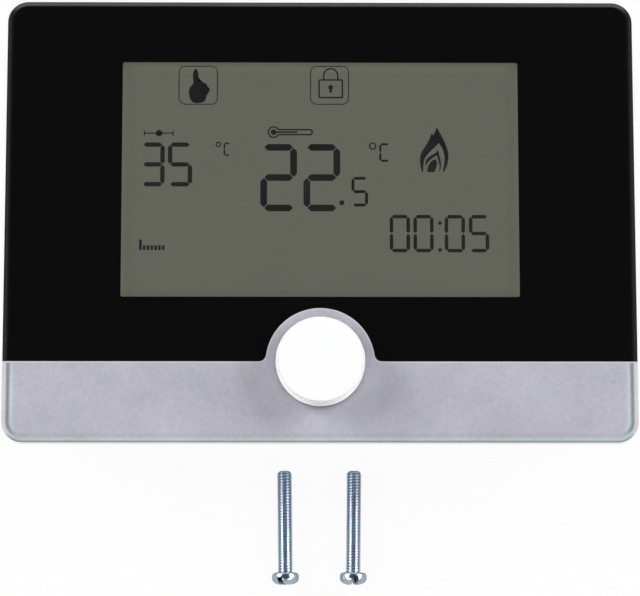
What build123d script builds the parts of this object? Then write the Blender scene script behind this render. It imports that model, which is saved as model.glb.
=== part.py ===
from build123d import *
from math import asin, cos, degrees, radians, sin, tan
import os

# Wall thermostat, millimetres. X runs to the right, Y up the wall and Z out of the wall.
# The origin is the centre of the wall plate's rear face, so z = 0 is the wall.

# Front panel: a clear acrylic plate with a bevelled edge, printed on its back
PANEL_WIDTH = 120.0
PANEL_HEIGHT = 85.0
UNIT_DEPTH = 25.0  # wall to the front face of the panel
PANEL_THICKNESS = 2.0
PANEL_CORNER_RADIUS = 4.2
PANEL_BEVEL_WIDTH = 1.1
PANEL_BEVEL_DEPTH = 0.8
PANEL_HOLE_BREAK = 0.15
PRINT_THICKNESS = 0.1
PRINT_INSET = 0.25
TRIM_WIDTH = 0.3
SILVER_HEIGHT = 15.23  # panel's lower edge up to the black print
BORDER_BLEND_RADIUS = 1.7
ARCH_RADIUS = 10.0
ADHESIVE_THICKNESS = 0.1
ADHESIVE_WIDTH = 3.0

# Display window and the stack behind it
WINDOW_SIDE_MARGIN = 22.3  # panel's side edges to the window
WINDOW_TOP_MARGIN = 12.0  # panel's upper edge down to the window
WINDOW_BOTTOM_MARGIN = 12.57  # window down to the border of the print
WINDOW_CORNER_RADIUS = 0.4
WINDOW_REBATE = 1.0  # the housing's opening stands back from the printed one
LCD_SIDE_MARGIN = 3.3  # the glass reaches past the window by this
LCD_END_MARGIN = 2.9
LCD_DROP = 1.4  # the glass reaches further down than up, for its contact ledge
LCD_PANE_THICKNESS = 1.1
LCD_LEDGE = 3.0
POLARIZER_THICKNESS = 0.2
POLARIZER_INSET = 0.8
LCD_GAP = 0.2  # polarizer to the front wall, which is thinned round the display
HOLDER_WALL = 1.6
HOLDER_CLEARANCE = 0.2
HOLDER_POCKET_GAP = 0.3
GUIDE_THICKNESS = 2.9
GUIDE_GAP = 0.2
GUIDE_WEDGE = 0.7
LED_COUNT = 3
LED_WIDTH = 3.6
LED_DEPTH = 1.2
LED_HEIGHT = 1.4
LED_PITCH = 12.0
ZEBRA_WIDTH = 1.8
ZEBRA_END_GAP = 4.0

# Dial and the push encoder under it
DIAL_RISE = 0.12  # dial's axis above the border of the print
DIAL_RADIUS = 8.4  # at the rim round its foot
DIAL_RIM_WIDTH = 0.4
DIAL_RIM_HEIGHT = 0.35  # rim's upper face above the panel
DIAL_RIM_ROUND = 0.12
DIAL_PROUD = 4.1  # height above the panel
DIAL_SINK = 1.4  # depth of the skirt into the panel's hole
DIAL_EDGE_RADIUS = 0.2
DIAL_DRAFT = 2.0  # degrees, so that it leaves its mould
DIAL_TOP_THICKNESS = 1.4
DIAL_WALL = 1.2
DIAL_HUB_RADIUS = 4.7
DIAL_RIB_COUNT = 6
DIAL_RIB_THICKNESS = 0.8
DIAL_CLEARANCE = 0.3
DIAL_SHELF = 1.2  # the housing closes in under the dial by this
PRESS_TRAVEL = 0.5
ENCODER_SIZE = 12.0
ENCODER_HEIGHT = 4.6
ENCODER_CORNER = 0.6
BUSHING_RADIUS = 3.5
SHAFT_RADIUS = 3.0
SHAFT_CLEARANCE = 0.05
SHAFT_FLAT = 1.5  # depth of the D flat
SHAFT_END_GAP = 0.2
ROTOR_RADIUS = 3.8
ROTOR_THICKNESS = 0.9
ENCODER_CAVITY_RADIUS = 4.2
ENCODER_BASE = 0.7
PLUNGER_THICKNESS = 0.6
PLUNGER_CLEARANCE = 0.08
PIVOT_RADIUS = 1.0
PIVOT_LENGTH = 1.5
AXIAL_PLAY = 0.05
ROTOR_HEADROOM = 0.35

# Circuit board and what it carries
BOARD_SIDE_GAP = 4.45  # to the inside of the rear rim
BOARD_END_GAP = 2.95
BOARD_THICKNESS = 1.4
BOARD_NOTCH = 7.0  # corner notch for the housing screw pillars
BOARD_SCREW_INSET = 4.0  # from the board's side edges
BOARD_SCREW_Y = 18.0
BOARD_HOLE_RADIUS = 1.3
RELAY_LENGTH = 20.0
RELAY_WIDTH = 10.0
RELAY_HEIGHT = 7.2
RELAY_CHAMFER = 0.4
RELAY_X = -24.0
RELAY_RISE = 15.0  # above the board's lower edge
CHIP_SIZE = 10.0
CHIP_HEIGHT = 1.4
CHIP_CHAMFER = 0.2
CHIP_X = 24.0
CHIP_DROP = 0.85  # below the dial's axis
CRYSTAL_LENGTH = 7.0
CRYSTAL_RADIUS = 1.0
CAPACITOR_RADIUS = 3.15
CAPACITOR_HEIGHT = 6.6
CAPACITOR_EDGE = 0.4
CAPACITOR_X = -8.0
CAPACITOR_Y = -10.0
SENSOR_INSET = 15.0  # from the board's left edge
SENSOR_RADIUS = 1.2
SENSOR_LEAD_RADIUS = 0.25
SENSOR_LEAD_LENGTH = 4.0
SENSOR_LEAD_SPREAD = 0.7

# Screw terminals
POLE_COUNT = 3
POLE_PITCH = 5.08
TERMINAL_DEPTH = 8.0
TERMINAL_HEIGHT = 9.0
TERMINAL_X = 18.0
TERMINAL_Y = -16.0
TERMINAL_EDGE = 1.2
TERMINAL_ENTRY_WIDTH = 3.8
TERMINAL_ENTRY_HEIGHT = 3.6
TERMINAL_ENTRY_DEPTH = 6.4
TERMINAL_ENTRY_FLOOR = 1.0
TERMINAL_SCREW_RADIUS = 1.7
TERMINAL_SCREW_SINK = 0.6
TERMINAL_SCREW_CLEARANCE = 0.1
TERMINAL_SLOT_WIDTH = 0.6
TERMINAL_SLOT_DEPTH = 0.8
CLAMP_WALL = 0.5
CLAMP_CLEARANCE = 0.1

# Cells and their bay
CELL_RADIUS = 5.15
CELL_LENGTH = 43.3
CELL_NUB_RADIUS = 1.9
CELL_NUB_LENGTH = 1.2
CELL_EDGE = 0.4
CELL_CLEARANCE = 0.3
BAY_END_ROOM = 1.7  # for the contacts at each end
BAY_WALL = 1.2
BAY_INSET = 17.45  # bay's centre line below the housing's upper inside face
BAY_RIB_WIDTH = 0.8
BAY_RIB_DEPTH = 1.4
CONTACT_THICKNESS = 0.4
CONTACT_SIZE = 7.6
CONTACT_BOW = 1.0

# Housings
PANEL_OVERHANG = 1.6
HOUSING_CORNER_RADIUS = 5.0  # at the rear rim
HOUSING_DRAFT = 3.0  # degrees, widening towards the front
HOUSING_WALL = 1.8
WALL_GAP = 1.0  # rear rim to the wall
FLOOR_BOTTOM = 5.2
FLOOR_THICKNESS = 1.6
FRONT_WALL = 1.6
WINDOW_WALL = 0.7  # what is left of the front wall over the display's holder
SEAM_HEIGHT = 17.0
TONGUE_HEIGHT = 1.2
TONGUE_THICKNESS = 0.8
TONGUE_CLEARANCE = 0.1
SCREW_BOSS_INSET = 1.8  # boss to the inside of the rear rim
SCREW_BOSS_RADIUS = 3.3
PILLAR_GAP = 0.1
BOARD_BOSS_RADIUS = 2.8
WIRING_WIDTH = 27.0
WIRING_HEIGHT = 19.0
WIRING_X = 18.0
WIRING_Y = -20.5
VENT_COUNT = 7
VENT_PITCH = 4.0
VENT_WIDTH = 1.6
VENT_LENGTH = 6.0
VENT_INSET = 25.5  # middle of the row, from the inside of the left wall
VENT_Z = 11.5

# Wall plate, its hooks and its catch
PLATE_SIDE_GAP = 5.5  # to the inside of the rear rim
PLATE_END_GAP = 2.0
PLATE_THICKNESS = 1.8
PLATE_CORNER_RADIUS = 4.0
PLATE_RIM_HEIGHT = 3.2
PLATE_RIM_THICKNESS = 1.2
CABLE_WIDTH = 34.0
CABLE_HEIGHT = 20.0
CABLE_X = 16.0
CABLE_Y = -20.0
CABLE_CORNER_RADIUS = 3.0
SLOT_SPACING = 60.0
SLOT_LENGTH = 9.0
SLOT_WIDTH = 3.6
SLOT_LAND_WIDTH = 8.0
SLOT_LAND_DEPTH = 0.5
ANCHOR_SPACING_X = 84.0
ANCHOR_SPACING_Y = 52.0
ANCHOR_RADIUS = 2.1
HOOK_X = 34.0
HOOK_WIDTH = 8.0
HOOK_THICKNESS = 1.8
HOOK_INSET = 1.0  # plate's upper edge down to the face where the housing hangs
HOOK_LIP = 1.4
HOOK_LIP_THICKNESS = 1.5
HOOK_CLEARANCE = 0.3
HOOK_DROP = 3.6  # length of the slot that lets the lip in
CATCH_WIDTH = 12.0
CATCH_THICKNESS = 1.2
CATCH_HEIGHT = 4.6
CATCH_BEAD = 0.45
CATCH_INSET = 0.6
CATCH_RIB_HEIGHT = 0.9

# Screws
MOUNT_SCREW_RADIUS = 1.45
MOUNT_SCREW_LENGTH = 19.8
MOUNT_SCREW_POINT = 0.5
MOUNT_HEAD_RADIUS = 2.6
MOUNT_HEAD_HEIGHT = 2.3
MOUNT_HEAD_CHAMFER = 0.8
MOUNT_RECESS_DEPTH = 1.2
MOUNT_RECESS_WIDTH = 0.7
MOUNT_RECESS_LENGTH = 2.6
MOUNT_SCREW_PITCH_X = 13.4  # between the two loose screws
MOUNT_SCREW_TIP_Y = -46.3
MOUNT_SCREW_SPLAY = 0.65  # degrees, each screw's head points inward by this
HOUSING_SCREW_RADIUS = 1.45
HOUSING_SCREW_LENGTH = 13.0
HOUSING_SCREW_HEAD_RADIUS = 2.5
HOUSING_SCREW_HEAD_HEIGHT = 1.8
BOARD_SCREW_RADIUS = 1.1
BOARD_SCREW_LENGTH = 6.0
BOARD_SCREW_HEAD_RADIUS = 2.1
BOARD_SCREW_HEAD_HEIGHT = 1.3
SCREW_CLEARANCE = 0.06
HEAD_CLEARANCE = 0.3
COUNTERBORE_DEPTH = 3.0

# Places on the front that follow from the panel
BORDER_Y = -PANEL_HEIGHT / 2 + SILVER_HEIGHT
DIAL_Y = BORDER_Y + DIAL_RISE
WINDOW_WIDTH = PANEL_WIDTH - 2 * WINDOW_SIDE_MARGIN
WINDOW_TOP = PANEL_HEIGHT / 2 - WINDOW_TOP_MARGIN
WINDOW_HEIGHT = WINDOW_TOP - WINDOW_BOTTOM_MARGIN - BORDER_Y
WINDOW_Y = WINDOW_TOP - WINDOW_HEIGHT / 2
LCD_WIDTH = WINDOW_WIDTH + 2 * LCD_SIDE_MARGIN
LCD_HEIGHT = WINDOW_HEIGHT + 2 * LCD_END_MARGIN

# Levels that follow from the stack, measured from the wall
PANEL_BACK = UNIT_DEPTH - PANEL_THICKNESS
PRINT_BACK = PANEL_BACK - PRINT_THICKNESS
HOUSING_FRONT = PRINT_BACK - ADHESIVE_THICKNESS
WALL_INSIDE = HOUSING_FRONT - FRONT_WALL
POLARIZER_FRONT = HOUSING_FRONT - WINDOW_WALL - LCD_GAP
LCD_FRONT = POLARIZER_FRONT - POLARIZER_THICKNESS
LCD_BACK = LCD_FRONT - 2 * LCD_PANE_THICKNESS
GUIDE_FRONT = LCD_BACK - GUIDE_GAP
GUIDE_BACK = GUIDE_FRONT - GUIDE_THICKNESS
BOARD_FRONT = GUIDE_BACK - GUIDE_GAP
BOARD_BACK = BOARD_FRONT - BOARD_THICKNESS
FLOOR_TOP = FLOOR_BOTTOM + FLOOR_THICKNESS
BAY_TOP = BOARD_BACK - PILLAR_GAP
BAY_CEILING = BAY_TOP - BAY_WALL
CELL_Z = BAY_CEILING - CELL_CLEARANCE - CELL_RADIUS
CELL_PITCH = 2 * CELL_RADIUS + 2 * CELL_CLEARANCE
BAY_LENGTH = CELL_LENGTH + CELL_NUB_LENGTH + 2 * BAY_END_ROOM
BAY_WIDTH = 2 * CELL_PITCH
LCD_Y = WINDOW_Y - LCD_DROP
HOLDER_WIDTH = LCD_WIDTH + 2 * (HOLDER_CLEARANCE + HOLDER_WALL)
HOLDER_HEIGHT = LCD_HEIGHT + 2 * (HOLDER_CLEARANCE + HOLDER_WALL)
DIAL_TOP = UNIT_DEPTH + DIAL_PROUD
DIAL_BOTTOM = UNIT_DEPTH - DIAL_SINK
DIAL_RIM_TOP = UNIT_DEPTH + DIAL_RIM_HEIGHT
DIAL_INSIDE = DIAL_TOP - DIAL_TOP_THICKNESS
DIAL_HOLE_RADIUS = DIAL_RADIUS + DIAL_CLEARANCE
HOOK_LIP_BOTTOM = FLOOR_TOP + HOOK_CLEARANCE
SEAT_Z = COUNTERBORE_DEPTH + FLOOR_BOTTOM

# Outlines that follow from the panel, at the housing's rear rim
RIM_INSET = PANEL_OVERHANG + (HOUSING_FRONT - WALL_GAP) * tan(radians(HOUSING_DRAFT))
HOUSING_WIDTH = PANEL_WIDTH - 2 * RIM_INSET
HOUSING_HEIGHT = PANEL_HEIGHT - 2 * RIM_INSET
INSIDE_X = HOUSING_WIDTH / 2 - HOUSING_WALL
INSIDE_Y = HOUSING_HEIGHT / 2 - HOUSING_WALL
SCREW_BOSS_X = INSIDE_X - SCREW_BOSS_INSET - SCREW_BOSS_RADIUS
SCREW_BOSS_Y = INSIDE_Y - SCREW_BOSS_INSET - SCREW_BOSS_RADIUS
BOARD_WIDTH = 2 * (INSIDE_X - BOARD_SIDE_GAP)
BOARD_HEIGHT = 2 * (INSIDE_Y - BOARD_END_GAP)
BOARD_SCREW_X = BOARD_WIDTH / 2 - BOARD_SCREW_INSET
RELAY_Y = RELAY_RISE - BOARD_HEIGHT / 2
PLATE_WIDTH = 2 * (INSIDE_X - PLATE_SIDE_GAP)
PLATE_HEIGHT = 2 * (INSIDE_Y - PLATE_END_GAP)
HOOK_FACE_Y = PLATE_HEIGHT / 2 - HOOK_INSET
BAY_Y = INSIDE_Y - BAY_INSET
CHIP_Y = DIAL_Y - CHIP_DROP
SENSOR_X = SENSOR_INSET - BOARD_WIDTH / 2
VENT_X = VENT_INSET - INSIDE_X

# The encoder's inner levels
CAVITY_FLOOR = BOARD_FRONT + ENCODER_BASE
PLUNGER_BACK = CAVITY_FLOOR + PRESS_TRAVEL + AXIAL_PLAY
PLUNGER_FRONT = PLUNGER_BACK + PLUNGER_THICKNESS
ROTOR_BACK = PLUNGER_FRONT + AXIAL_PLAY
ROTOR_FRONT = ROTOR_BACK + ROTOR_THICKNESS
CAVITY_TOP = ROTOR_FRONT + ROTOR_HEADROOM
ENCODER_FRONT = BOARD_FRONT + ENCODER_HEIGHT
DIAL_HUB_BOTTOM = DIAL_BOTTOM + PRESS_TRAVEL
BUSHING_TOP = DIAL_HUB_BOTTOM - PRESS_TRAVEL - DIAL_CLEARANCE
SHAFT_TOP = DIAL_INSIDE - SHAFT_END_GAP


def slab(width, height, radius, bottom, top, x=0.0, y=0.0):
    """A rounded rectangle, extruded between two heights."""
    outline = Pos(x, y, bottom) * RectangleRounded(width, height, radius)
    return extrude(outline, top - bottom)


def block(width, height, bottom, top, x=0.0, y=0.0):
    """A plain box between two heights."""
    outline = Pos(x, y, bottom) * Rectangle(width, height)
    return extrude(outline, top - bottom)


def rod(radius, bottom, top, x=0.0, y=0.0):
    """An upright cylinder between two heights."""
    return extrude(Pos(x, y, bottom) * Circle(radius), top - bottom)


def corners(x, y):
    """The four mirrored positions of one corner."""
    return [(sx * x, sy * y) for sx in (-1, 1) for sy in (-1, 1)]


def solid_group(pieces):
    """Separate solids that share one node."""
    return Compound(children=[piece.solid() for piece in pieces])


def profile_yz(points, width, x=0.0):
    """A closed outline in the YZ plane, extruded to a width centred on x."""
    outline = make_face(Polyline(*[(0, y, z) for y, z in points], close=True))
    return extrude(Pos(x, 0, 0) * outline, width / 2, dir=(1, 0, 0), both=True)


def housing_outline(inset, z):
    """The drafted housing's outline at a height, drawn in by an inset."""
    growth = (z - WALL_GAP) * tan(radians(HOUSING_DRAFT))
    width = HOUSING_WIDTH + 2 * (growth - inset)
    height = HOUSING_HEIGHT + 2 * (growth - inset)
    return Pos(0, 0, z) * RectangleRounded(width, height, HOUSING_CORNER_RADIUS + growth - inset)


def drafted(inset, bottom, top):
    """The drafted housing form between two heights."""
    return extrude(housing_outline(inset, bottom), top - bottom, taper=-HOUSING_DRAFT)


def dial_region():
    """Everything below the border, with the arch that stands round the dial."""
    low = -PANEL_HEIGHT
    half = Pos(0, (low + BORDER_Y) / 2) * Rectangle(2 * PANEL_WIDTH, BORDER_Y - low)
    region = half + Pos(0, DIAL_Y) * Circle(ARCH_RADIUS)
    meeting = [v for v in region.vertices() if abs(v.X) < 1.5 * ARCH_RADIUS]
    return fillet(meeting, BORDER_BLEND_RADIUS)


def print_outline():
    """The printed area on the back of the panel, with the dial's hole."""
    width = PANEL_WIDTH - 2 * PRINT_INSET
    height = PANEL_HEIGHT - 2 * PRINT_INSET
    area = RectangleRounded(width, height, PANEL_CORNER_RADIUS - PRINT_INSET)
    return area - Pos(0, DIAL_Y) * Circle(DIAL_HOLE_RADIUS)


def window_outline(margin=0.0):
    """The display window, grown by a margin."""
    width = WINDOW_WIDTH + 2 * margin
    height = WINDOW_HEIGHT + 2 * margin
    return Pos(0, WINDOW_Y) * RectangleRounded(width, height, WINDOW_CORNER_RADIUS + margin)


def front_panel():
    plate = slab(PANEL_WIDTH, PANEL_HEIGHT, PANEL_CORNER_RADIUS, PANEL_BACK, UNIT_DEPTH)
    rim = plate.faces().sort_by(Axis.Z)[-1].edges()
    front = plate.faces().sort_by(Axis.Z)[-1]
    plate = chamfer(rim, PANEL_BEVEL_WIDTH, PANEL_BEVEL_DEPTH, reference=front)
    plate -= rod(DIAL_HOLE_RADIUS, PANEL_BACK, UNIT_DEPTH, 0, DIAL_Y)
    lips = plate.faces().sort_by(Axis.Z)[-1].edges().filter_by(GeomType.CIRCLE)
    lip = [e for e in lips if abs(e.radius - DIAL_HOLE_RADIUS) < PANEL_HOLE_BREAK]
    return chamfer(lip, PANEL_HOLE_BREAK)


def printed(region):
    """One colour of the print, on the back face of the panel."""
    return extrude(Pos(0, 0, PRINT_BACK) * region, PRINT_THICKNESS)


def silver_print():
    return printed(print_outline() & dial_region())


def trim_line():
    grown = offset(dial_region(), TRIM_WIDTH)
    return printed((grown - dial_region()) & print_outline())


def black_print():
    grown = offset(dial_region(), TRIM_WIDTH)
    return printed(print_outline() - grown - window_outline())


def panel_adhesive():
    """A frame of thin tape that holds the panel on the front housing."""
    face = housing_outline(HOUSING_WALL / 2, HOUSING_FRONT)
    hollow = housing_outline(HOUSING_WALL / 2 + ADHESIVE_WIDTH, HOUSING_FRONT)
    return extrude(face - hollow, ADHESIVE_THICKNESS)


def front_housing():
    body = drafted(0, SEAM_HEIGHT, HOUSING_FRONT)
    body -= drafted(HOUSING_WALL, SEAM_HEIGHT, WALL_INSIDE)
    tongue_bottom = SEAM_HEIGHT - TONGUE_HEIGHT
    tongue_inset = HOUSING_WALL - TONGUE_THICKNESS
    tongue = drafted(tongue_inset, tongue_bottom, SEAM_HEIGHT + FRONT_WALL)
    body += tongue - drafted(HOUSING_WALL, tongue_bottom, SEAM_HEIGHT + FRONT_WALL)
    pocket_width = HOLDER_WIDTH + 2 * HOLDER_POCKET_GAP
    pocket_height = HOLDER_HEIGHT + 2 * HOLDER_POCKET_GAP
    body -= block(pocket_width, pocket_height, WALL_INSIDE, HOUSING_FRONT - WINDOW_WALL, 0, LCD_Y)
    body -= extrude(Pos(0, 0, WALL_INSIDE) * window_outline(WINDOW_REBATE), FRONT_WALL)
    body -= rod(DIAL_HOLE_RADIUS - DIAL_SHELF, WALL_INSIDE, HOUSING_FRONT, 0, DIAL_Y)
    bore = HOUSING_SCREW_RADIUS + SCREW_CLEARANCE
    screw_end = SEAT_Z + HOUSING_SCREW_LENGTH + HEAD_CLEARANCE
    for x, y in corners(SCREW_BOSS_X, SCREW_BOSS_Y):
        body += rod(SCREW_BOSS_RADIUS, SEAM_HEIGHT + PILLAR_GAP, WALL_INSIDE, x, y)
        body -= rod(bore, SEAM_HEIGHT, screw_end, x, y)
    return body


def cell_bay():
    """The box that holds the two cells, open towards the wall."""
    width = BAY_LENGTH + 2 * BAY_WALL
    height = BAY_WIDTH + 2 * BAY_WALL
    return block(width, height, FLOOR_BOTTOM, BAY_TOP, 0, BAY_Y)


def vents():
    """One row of upright slots through the top and bottom walls."""
    half = (VENT_COUNT - 1) / 2
    bottom = VENT_Z - VENT_LENGTH / 2
    through = 2 * HOUSING_HEIGHT
    slots = []
    for step in range(VENT_COUNT):
        x = VENT_X + (step - half) * VENT_PITCH
        slots.append(block(VENT_WIDTH, through, bottom, bottom + VENT_LENGTH, x, 0))
    keep = block(2 * HOUSING_WIDTH, HOUSING_HEIGHT - 4 * HOUSING_WALL, bottom, bottom + VENT_LENGTH)
    return [slot - keep for slot in slots]


def rear_housing():
    body = drafted(0, WALL_GAP, SEAM_HEIGHT)
    body -= drafted(HOUSING_WALL, WALL_GAP, FLOOR_BOTTOM)
    body -= drafted(HOUSING_WALL, FLOOR_TOP, SEAM_HEIGHT)
    groove_bottom = SEAM_HEIGHT - TONGUE_HEIGHT - TONGUE_CLEARANCE
    groove_inset = HOUSING_WALL - TONGUE_THICKNESS - TONGUE_CLEARANCE
    body -= drafted(groove_inset, groove_bottom, SEAM_HEIGHT)
    body += cell_bay()
    body -= block(BAY_LENGTH, BAY_WIDTH, FLOOR_BOTTOM, BAY_CEILING, 0, BAY_Y)
    body += block(BAY_LENGTH, BAY_RIB_WIDTH, BAY_CEILING - BAY_RIB_DEPTH, BAY_CEILING, 0, BAY_Y)
    bore = HOUSING_SCREW_RADIUS + SCREW_CLEARANCE
    counterbore = HOUSING_SCREW_HEAD_RADIUS + HEAD_CLEARANCE
    for x, y in corners(SCREW_BOSS_X, SCREW_BOSS_Y):
        body += rod(SCREW_BOSS_RADIUS, FLOOR_TOP, SEAM_HEIGHT, x, y)
        body -= rod(counterbore, FLOOR_BOTTOM, SEAT_Z, x, y)
        body -= rod(bore, SEAT_Z, SEAM_HEIGHT, x, y)
    pilot = BOARD_SCREW_RADIUS + SCREW_CLEARANCE
    for x, y in corners(BOARD_SCREW_X, BOARD_SCREW_Y):
        body += rod(BOARD_BOSS_RADIUS, FLOOR_TOP, BOARD_BACK, x, y)
        body -= rod(pilot, FLOOR_TOP, BOARD_BACK, x, y)
    body -= slab(WIRING_WIDTH, WIRING_HEIGHT, 1, FLOOR_BOTTOM, FLOOR_TOP, WIRING_X, WIRING_Y)
    slot_top = HOOK_FACE_Y + HOOK_CLEARANCE
    slot_middle = slot_top - HOOK_DROP / 2
    for x in (-HOOK_X, HOOK_X):
        slot_width = HOOK_WIDTH + 2 * HOOK_CLEARANCE
        body -= block(slot_width, HOOK_DROP, FLOOR_BOTTOM, FLOOR_TOP, x, slot_middle)
    for slot in vents():
        body -= slot
    wall_y = HOUSING_WALL - HOUSING_HEIGHT / 2
    rib_depth = -PLATE_HEIGHT / 2 - wall_y
    rib = [(wall_y - HOUSING_WALL / 2, WALL_GAP + CATCH_RIB_HEIGHT)]
    rib.append((wall_y + rib_depth, WALL_GAP + CATCH_RIB_HEIGHT + rib_depth / 2))
    rib.append((wall_y - HOUSING_WALL / 2, WALL_GAP + CATCH_RIB_HEIGHT + rib_depth))
    return body + profile_yz(rib, CATCH_WIDTH)


def hook(x):
    """One hook of the wall plate: a stem with a lip that points up."""
    top = HOOK_LIP_BOTTOM + HOOK_LIP_THICKNESS
    back = HOOK_FACE_Y - HOOK_THICKNESS
    tip = HOOK_FACE_Y + HOOK_LIP
    points = [(back, 0), (HOOK_FACE_Y, 0), (HOOK_FACE_Y, HOOK_LIP_BOTTOM)]
    points += [(tip, HOOK_LIP_BOTTOM), (tip, top - HOOK_LIP / 2)]
    points += [(tip - HOOK_LIP / 2, top), (back, top)]
    return profile_yz(points, HOOK_WIDTH, x)


def catch():
    """The upright tongue at the foot of the plate, with its bead."""
    outer = -PLATE_HEIGHT / 2 + CATCH_INSET
    inner = outer + CATCH_THICKNESS
    middle = CATCH_HEIGHT - 2 * CATCH_BEAD
    points = [(inner, 0), (inner, CATCH_HEIGHT), (outer + CATCH_BEAD, CATCH_HEIGHT)]
    points += [(outer, middle + CATCH_BEAD), (outer - CATCH_BEAD, middle)]
    points += [(outer, middle - CATCH_BEAD), (outer, 0)]
    return profile_yz(points, CATCH_WIDTH)


def wall_plate():
    body = slab(PLATE_WIDTH, PLATE_HEIGHT, PLATE_CORNER_RADIUS, 0, PLATE_RIM_HEIGHT)
    inner_width = PLATE_WIDTH - 2 * PLATE_RIM_THICKNESS
    inner_height = PLATE_HEIGHT - 2 * PLATE_RIM_THICKNESS
    inner_radius = PLATE_CORNER_RADIUS - PLATE_RIM_THICKNESS
    body -= slab(inner_width, inner_height, inner_radius, PLATE_THICKNESS, PLATE_RIM_HEIGHT)
    body -= block(PLATE_WIDTH / 3, PLATE_HEIGHT, PLATE_THICKNESS, PLATE_RIM_HEIGHT, 0, -PLATE_HEIGHT / 2)
    body -= slab(CABLE_WIDTH, CABLE_HEIGHT, CABLE_CORNER_RADIUS, 0, PLATE_THICKNESS, CABLE_X, CABLE_Y)
    for x in (-SLOT_SPACING / 2, SLOT_SPACING / 2):
        land = SlotOverall(SLOT_LENGTH + SLOT_LAND_WIDTH - SLOT_WIDTH, SLOT_LAND_WIDTH)
        body -= extrude(Pos(x, 0, PLATE_THICKNESS - SLOT_LAND_DEPTH) * land, SLOT_LAND_DEPTH)
        body -= extrude(Pos(x, 0, 0) * SlotOverall(SLOT_LENGTH, SLOT_WIDTH), PLATE_THICKNESS)
    for x, y in corners(ANCHOR_SPACING_X / 2, ANCHOR_SPACING_Y / 2):
        body -= rod(ANCHOR_RADIUS, 0, PLATE_THICKNESS, x, y)
    body += hook(-HOOK_X)
    body += hook(HOOK_X)
    return body + catch()


def lcd_glass():
    """Two panes, the front one longer by the ledge that the connector strip presses on."""
    middle = LCD_BACK + LCD_PANE_THICKNESS
    rear = block(LCD_WIDTH, LCD_HEIGHT - LCD_LEDGE, LCD_BACK, middle, 0, LCD_Y + LCD_LEDGE / 2)
    return rear + block(LCD_WIDTH, LCD_HEIGHT, middle, LCD_FRONT, 0, LCD_Y)


def lcd_polarizer():
    width = LCD_WIDTH - 2 * POLARIZER_INSET
    height = LCD_HEIGHT - LCD_LEDGE - 2 * POLARIZER_INSET
    return block(width, height, LCD_FRONT, POLARIZER_FRONT, 0, LCD_Y + LCD_LEDGE / 2)


def lcd_holder():
    """A moulded frame round the glass and the light guide."""
    inner_width = LCD_WIDTH + 2 * HOLDER_CLEARANCE
    inner_height = LCD_HEIGHT + 2 * HOLDER_CLEARANCE
    body = slab(HOLDER_WIDTH, HOLDER_HEIGHT, HOLDER_WALL, BOARD_FRONT, LCD_FRONT, 0, LCD_Y)
    return body - block(inner_width, inner_height, BOARD_FRONT, LCD_FRONT, 0, LCD_Y)


def guide_bottom():
    """Lower edge of the light guide, clear of the connector strip."""
    return LCD_Y - LCD_HEIGHT / 2 + LCD_LEDGE + ZEBRA_WIDTH / 2


def light_guide():
    """A wedge that thins away from its LEDs."""
    left = -LCD_WIDTH / 2 + LED_DEPTH + 2 * GUIDE_GAP
    right = LCD_WIDTH / 2
    top = LCD_Y + LCD_HEIGHT / 2
    points = [(left, 0, GUIDE_FRONT), (right, 0, GUIDE_FRONT)]
    points += [(right, 0, GUIDE_BACK + GUIDE_WEDGE), (left, 0, GUIDE_BACK)]
    outline = make_face(Polyline(*points, close=True))
    return extrude(Pos(0, guide_bottom(), 0) * outline, top - guide_bottom(), dir=(0, 1, 0))


def backlight_leds():
    x = -LCD_WIDTH / 2 + GUIDE_GAP / 2 + LED_DEPTH / 2
    middle = (LED_COUNT - 1) / 2
    pieces = []
    for step in range(LED_COUNT):
        y = WINDOW_Y + (step - middle) * LED_PITCH
        pieces.append(block(LED_DEPTH, LED_WIDTH, BOARD_FRONT, BOARD_FRONT + LED_HEIGHT, x, y))
    return solid_group(pieces)


def zebra_strip():
    """The elastomer strip between the board and the glass ledge."""
    y = LCD_Y - LCD_HEIGHT / 2 + LCD_LEDGE / 2
    length = LCD_WIDTH - 2 * ZEBRA_END_GAP
    return block(length, ZEBRA_WIDTH, BOARD_FRONT, LCD_BACK + LCD_PANE_THICKNESS, 0, y)


def main_board():
    board = block(BOARD_WIDTH, BOARD_HEIGHT, BOARD_BACK, BOARD_FRONT)
    for x, y in corners(BOARD_WIDTH / 2, BOARD_HEIGHT / 2):
        board -= slab(2 * BOARD_NOTCH, 2 * BOARD_NOTCH, 1, BOARD_BACK, BOARD_FRONT, x, y)
    for x, y in corners(BOARD_SCREW_X, BOARD_SCREW_Y):
        board -= rod(BOARD_HOLE_RADIUS, BOARD_BACK, BOARD_FRONT, x, y)
    return board


def encoder_body():
    """The square case and the bushing, bored for the shaft."""
    case = slab(ENCODER_SIZE, ENCODER_SIZE, ENCODER_CORNER, BOARD_FRONT, ENCODER_FRONT, 0, DIAL_Y)
    case += rod(BUSHING_RADIUS, ENCODER_FRONT, BUSHING_TOP, 0, DIAL_Y)
    case -= rod(ENCODER_CAVITY_RADIUS, CAVITY_FLOOR, CAVITY_TOP, 0, DIAL_Y)
    return case - rod(SHAFT_RADIUS + SHAFT_CLEARANCE, CAVITY_TOP, BUSHING_TOP, 0, DIAL_Y)


def encoder_plunger():
    """The disc that the shaft stands on: it slides when the dial is pressed."""
    disc = rod(ENCODER_CAVITY_RADIUS - PLUNGER_CLEARANCE, PLUNGER_BACK, PLUNGER_FRONT, 0, DIAL_Y)
    return disc + rod(PIVOT_RADIUS, PLUNGER_FRONT, PLUNGER_FRONT + PIVOT_LENGTH, 0, DIAL_Y)


def flat_cut(radius, bottom, top):
    """What is missing from a round shaft beside its D flat."""
    edge = DIAL_Y + SHAFT_RADIUS - SHAFT_FLAT
    return block(2 * radius, 2 * radius, bottom, top, 0, edge + radius)


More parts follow.
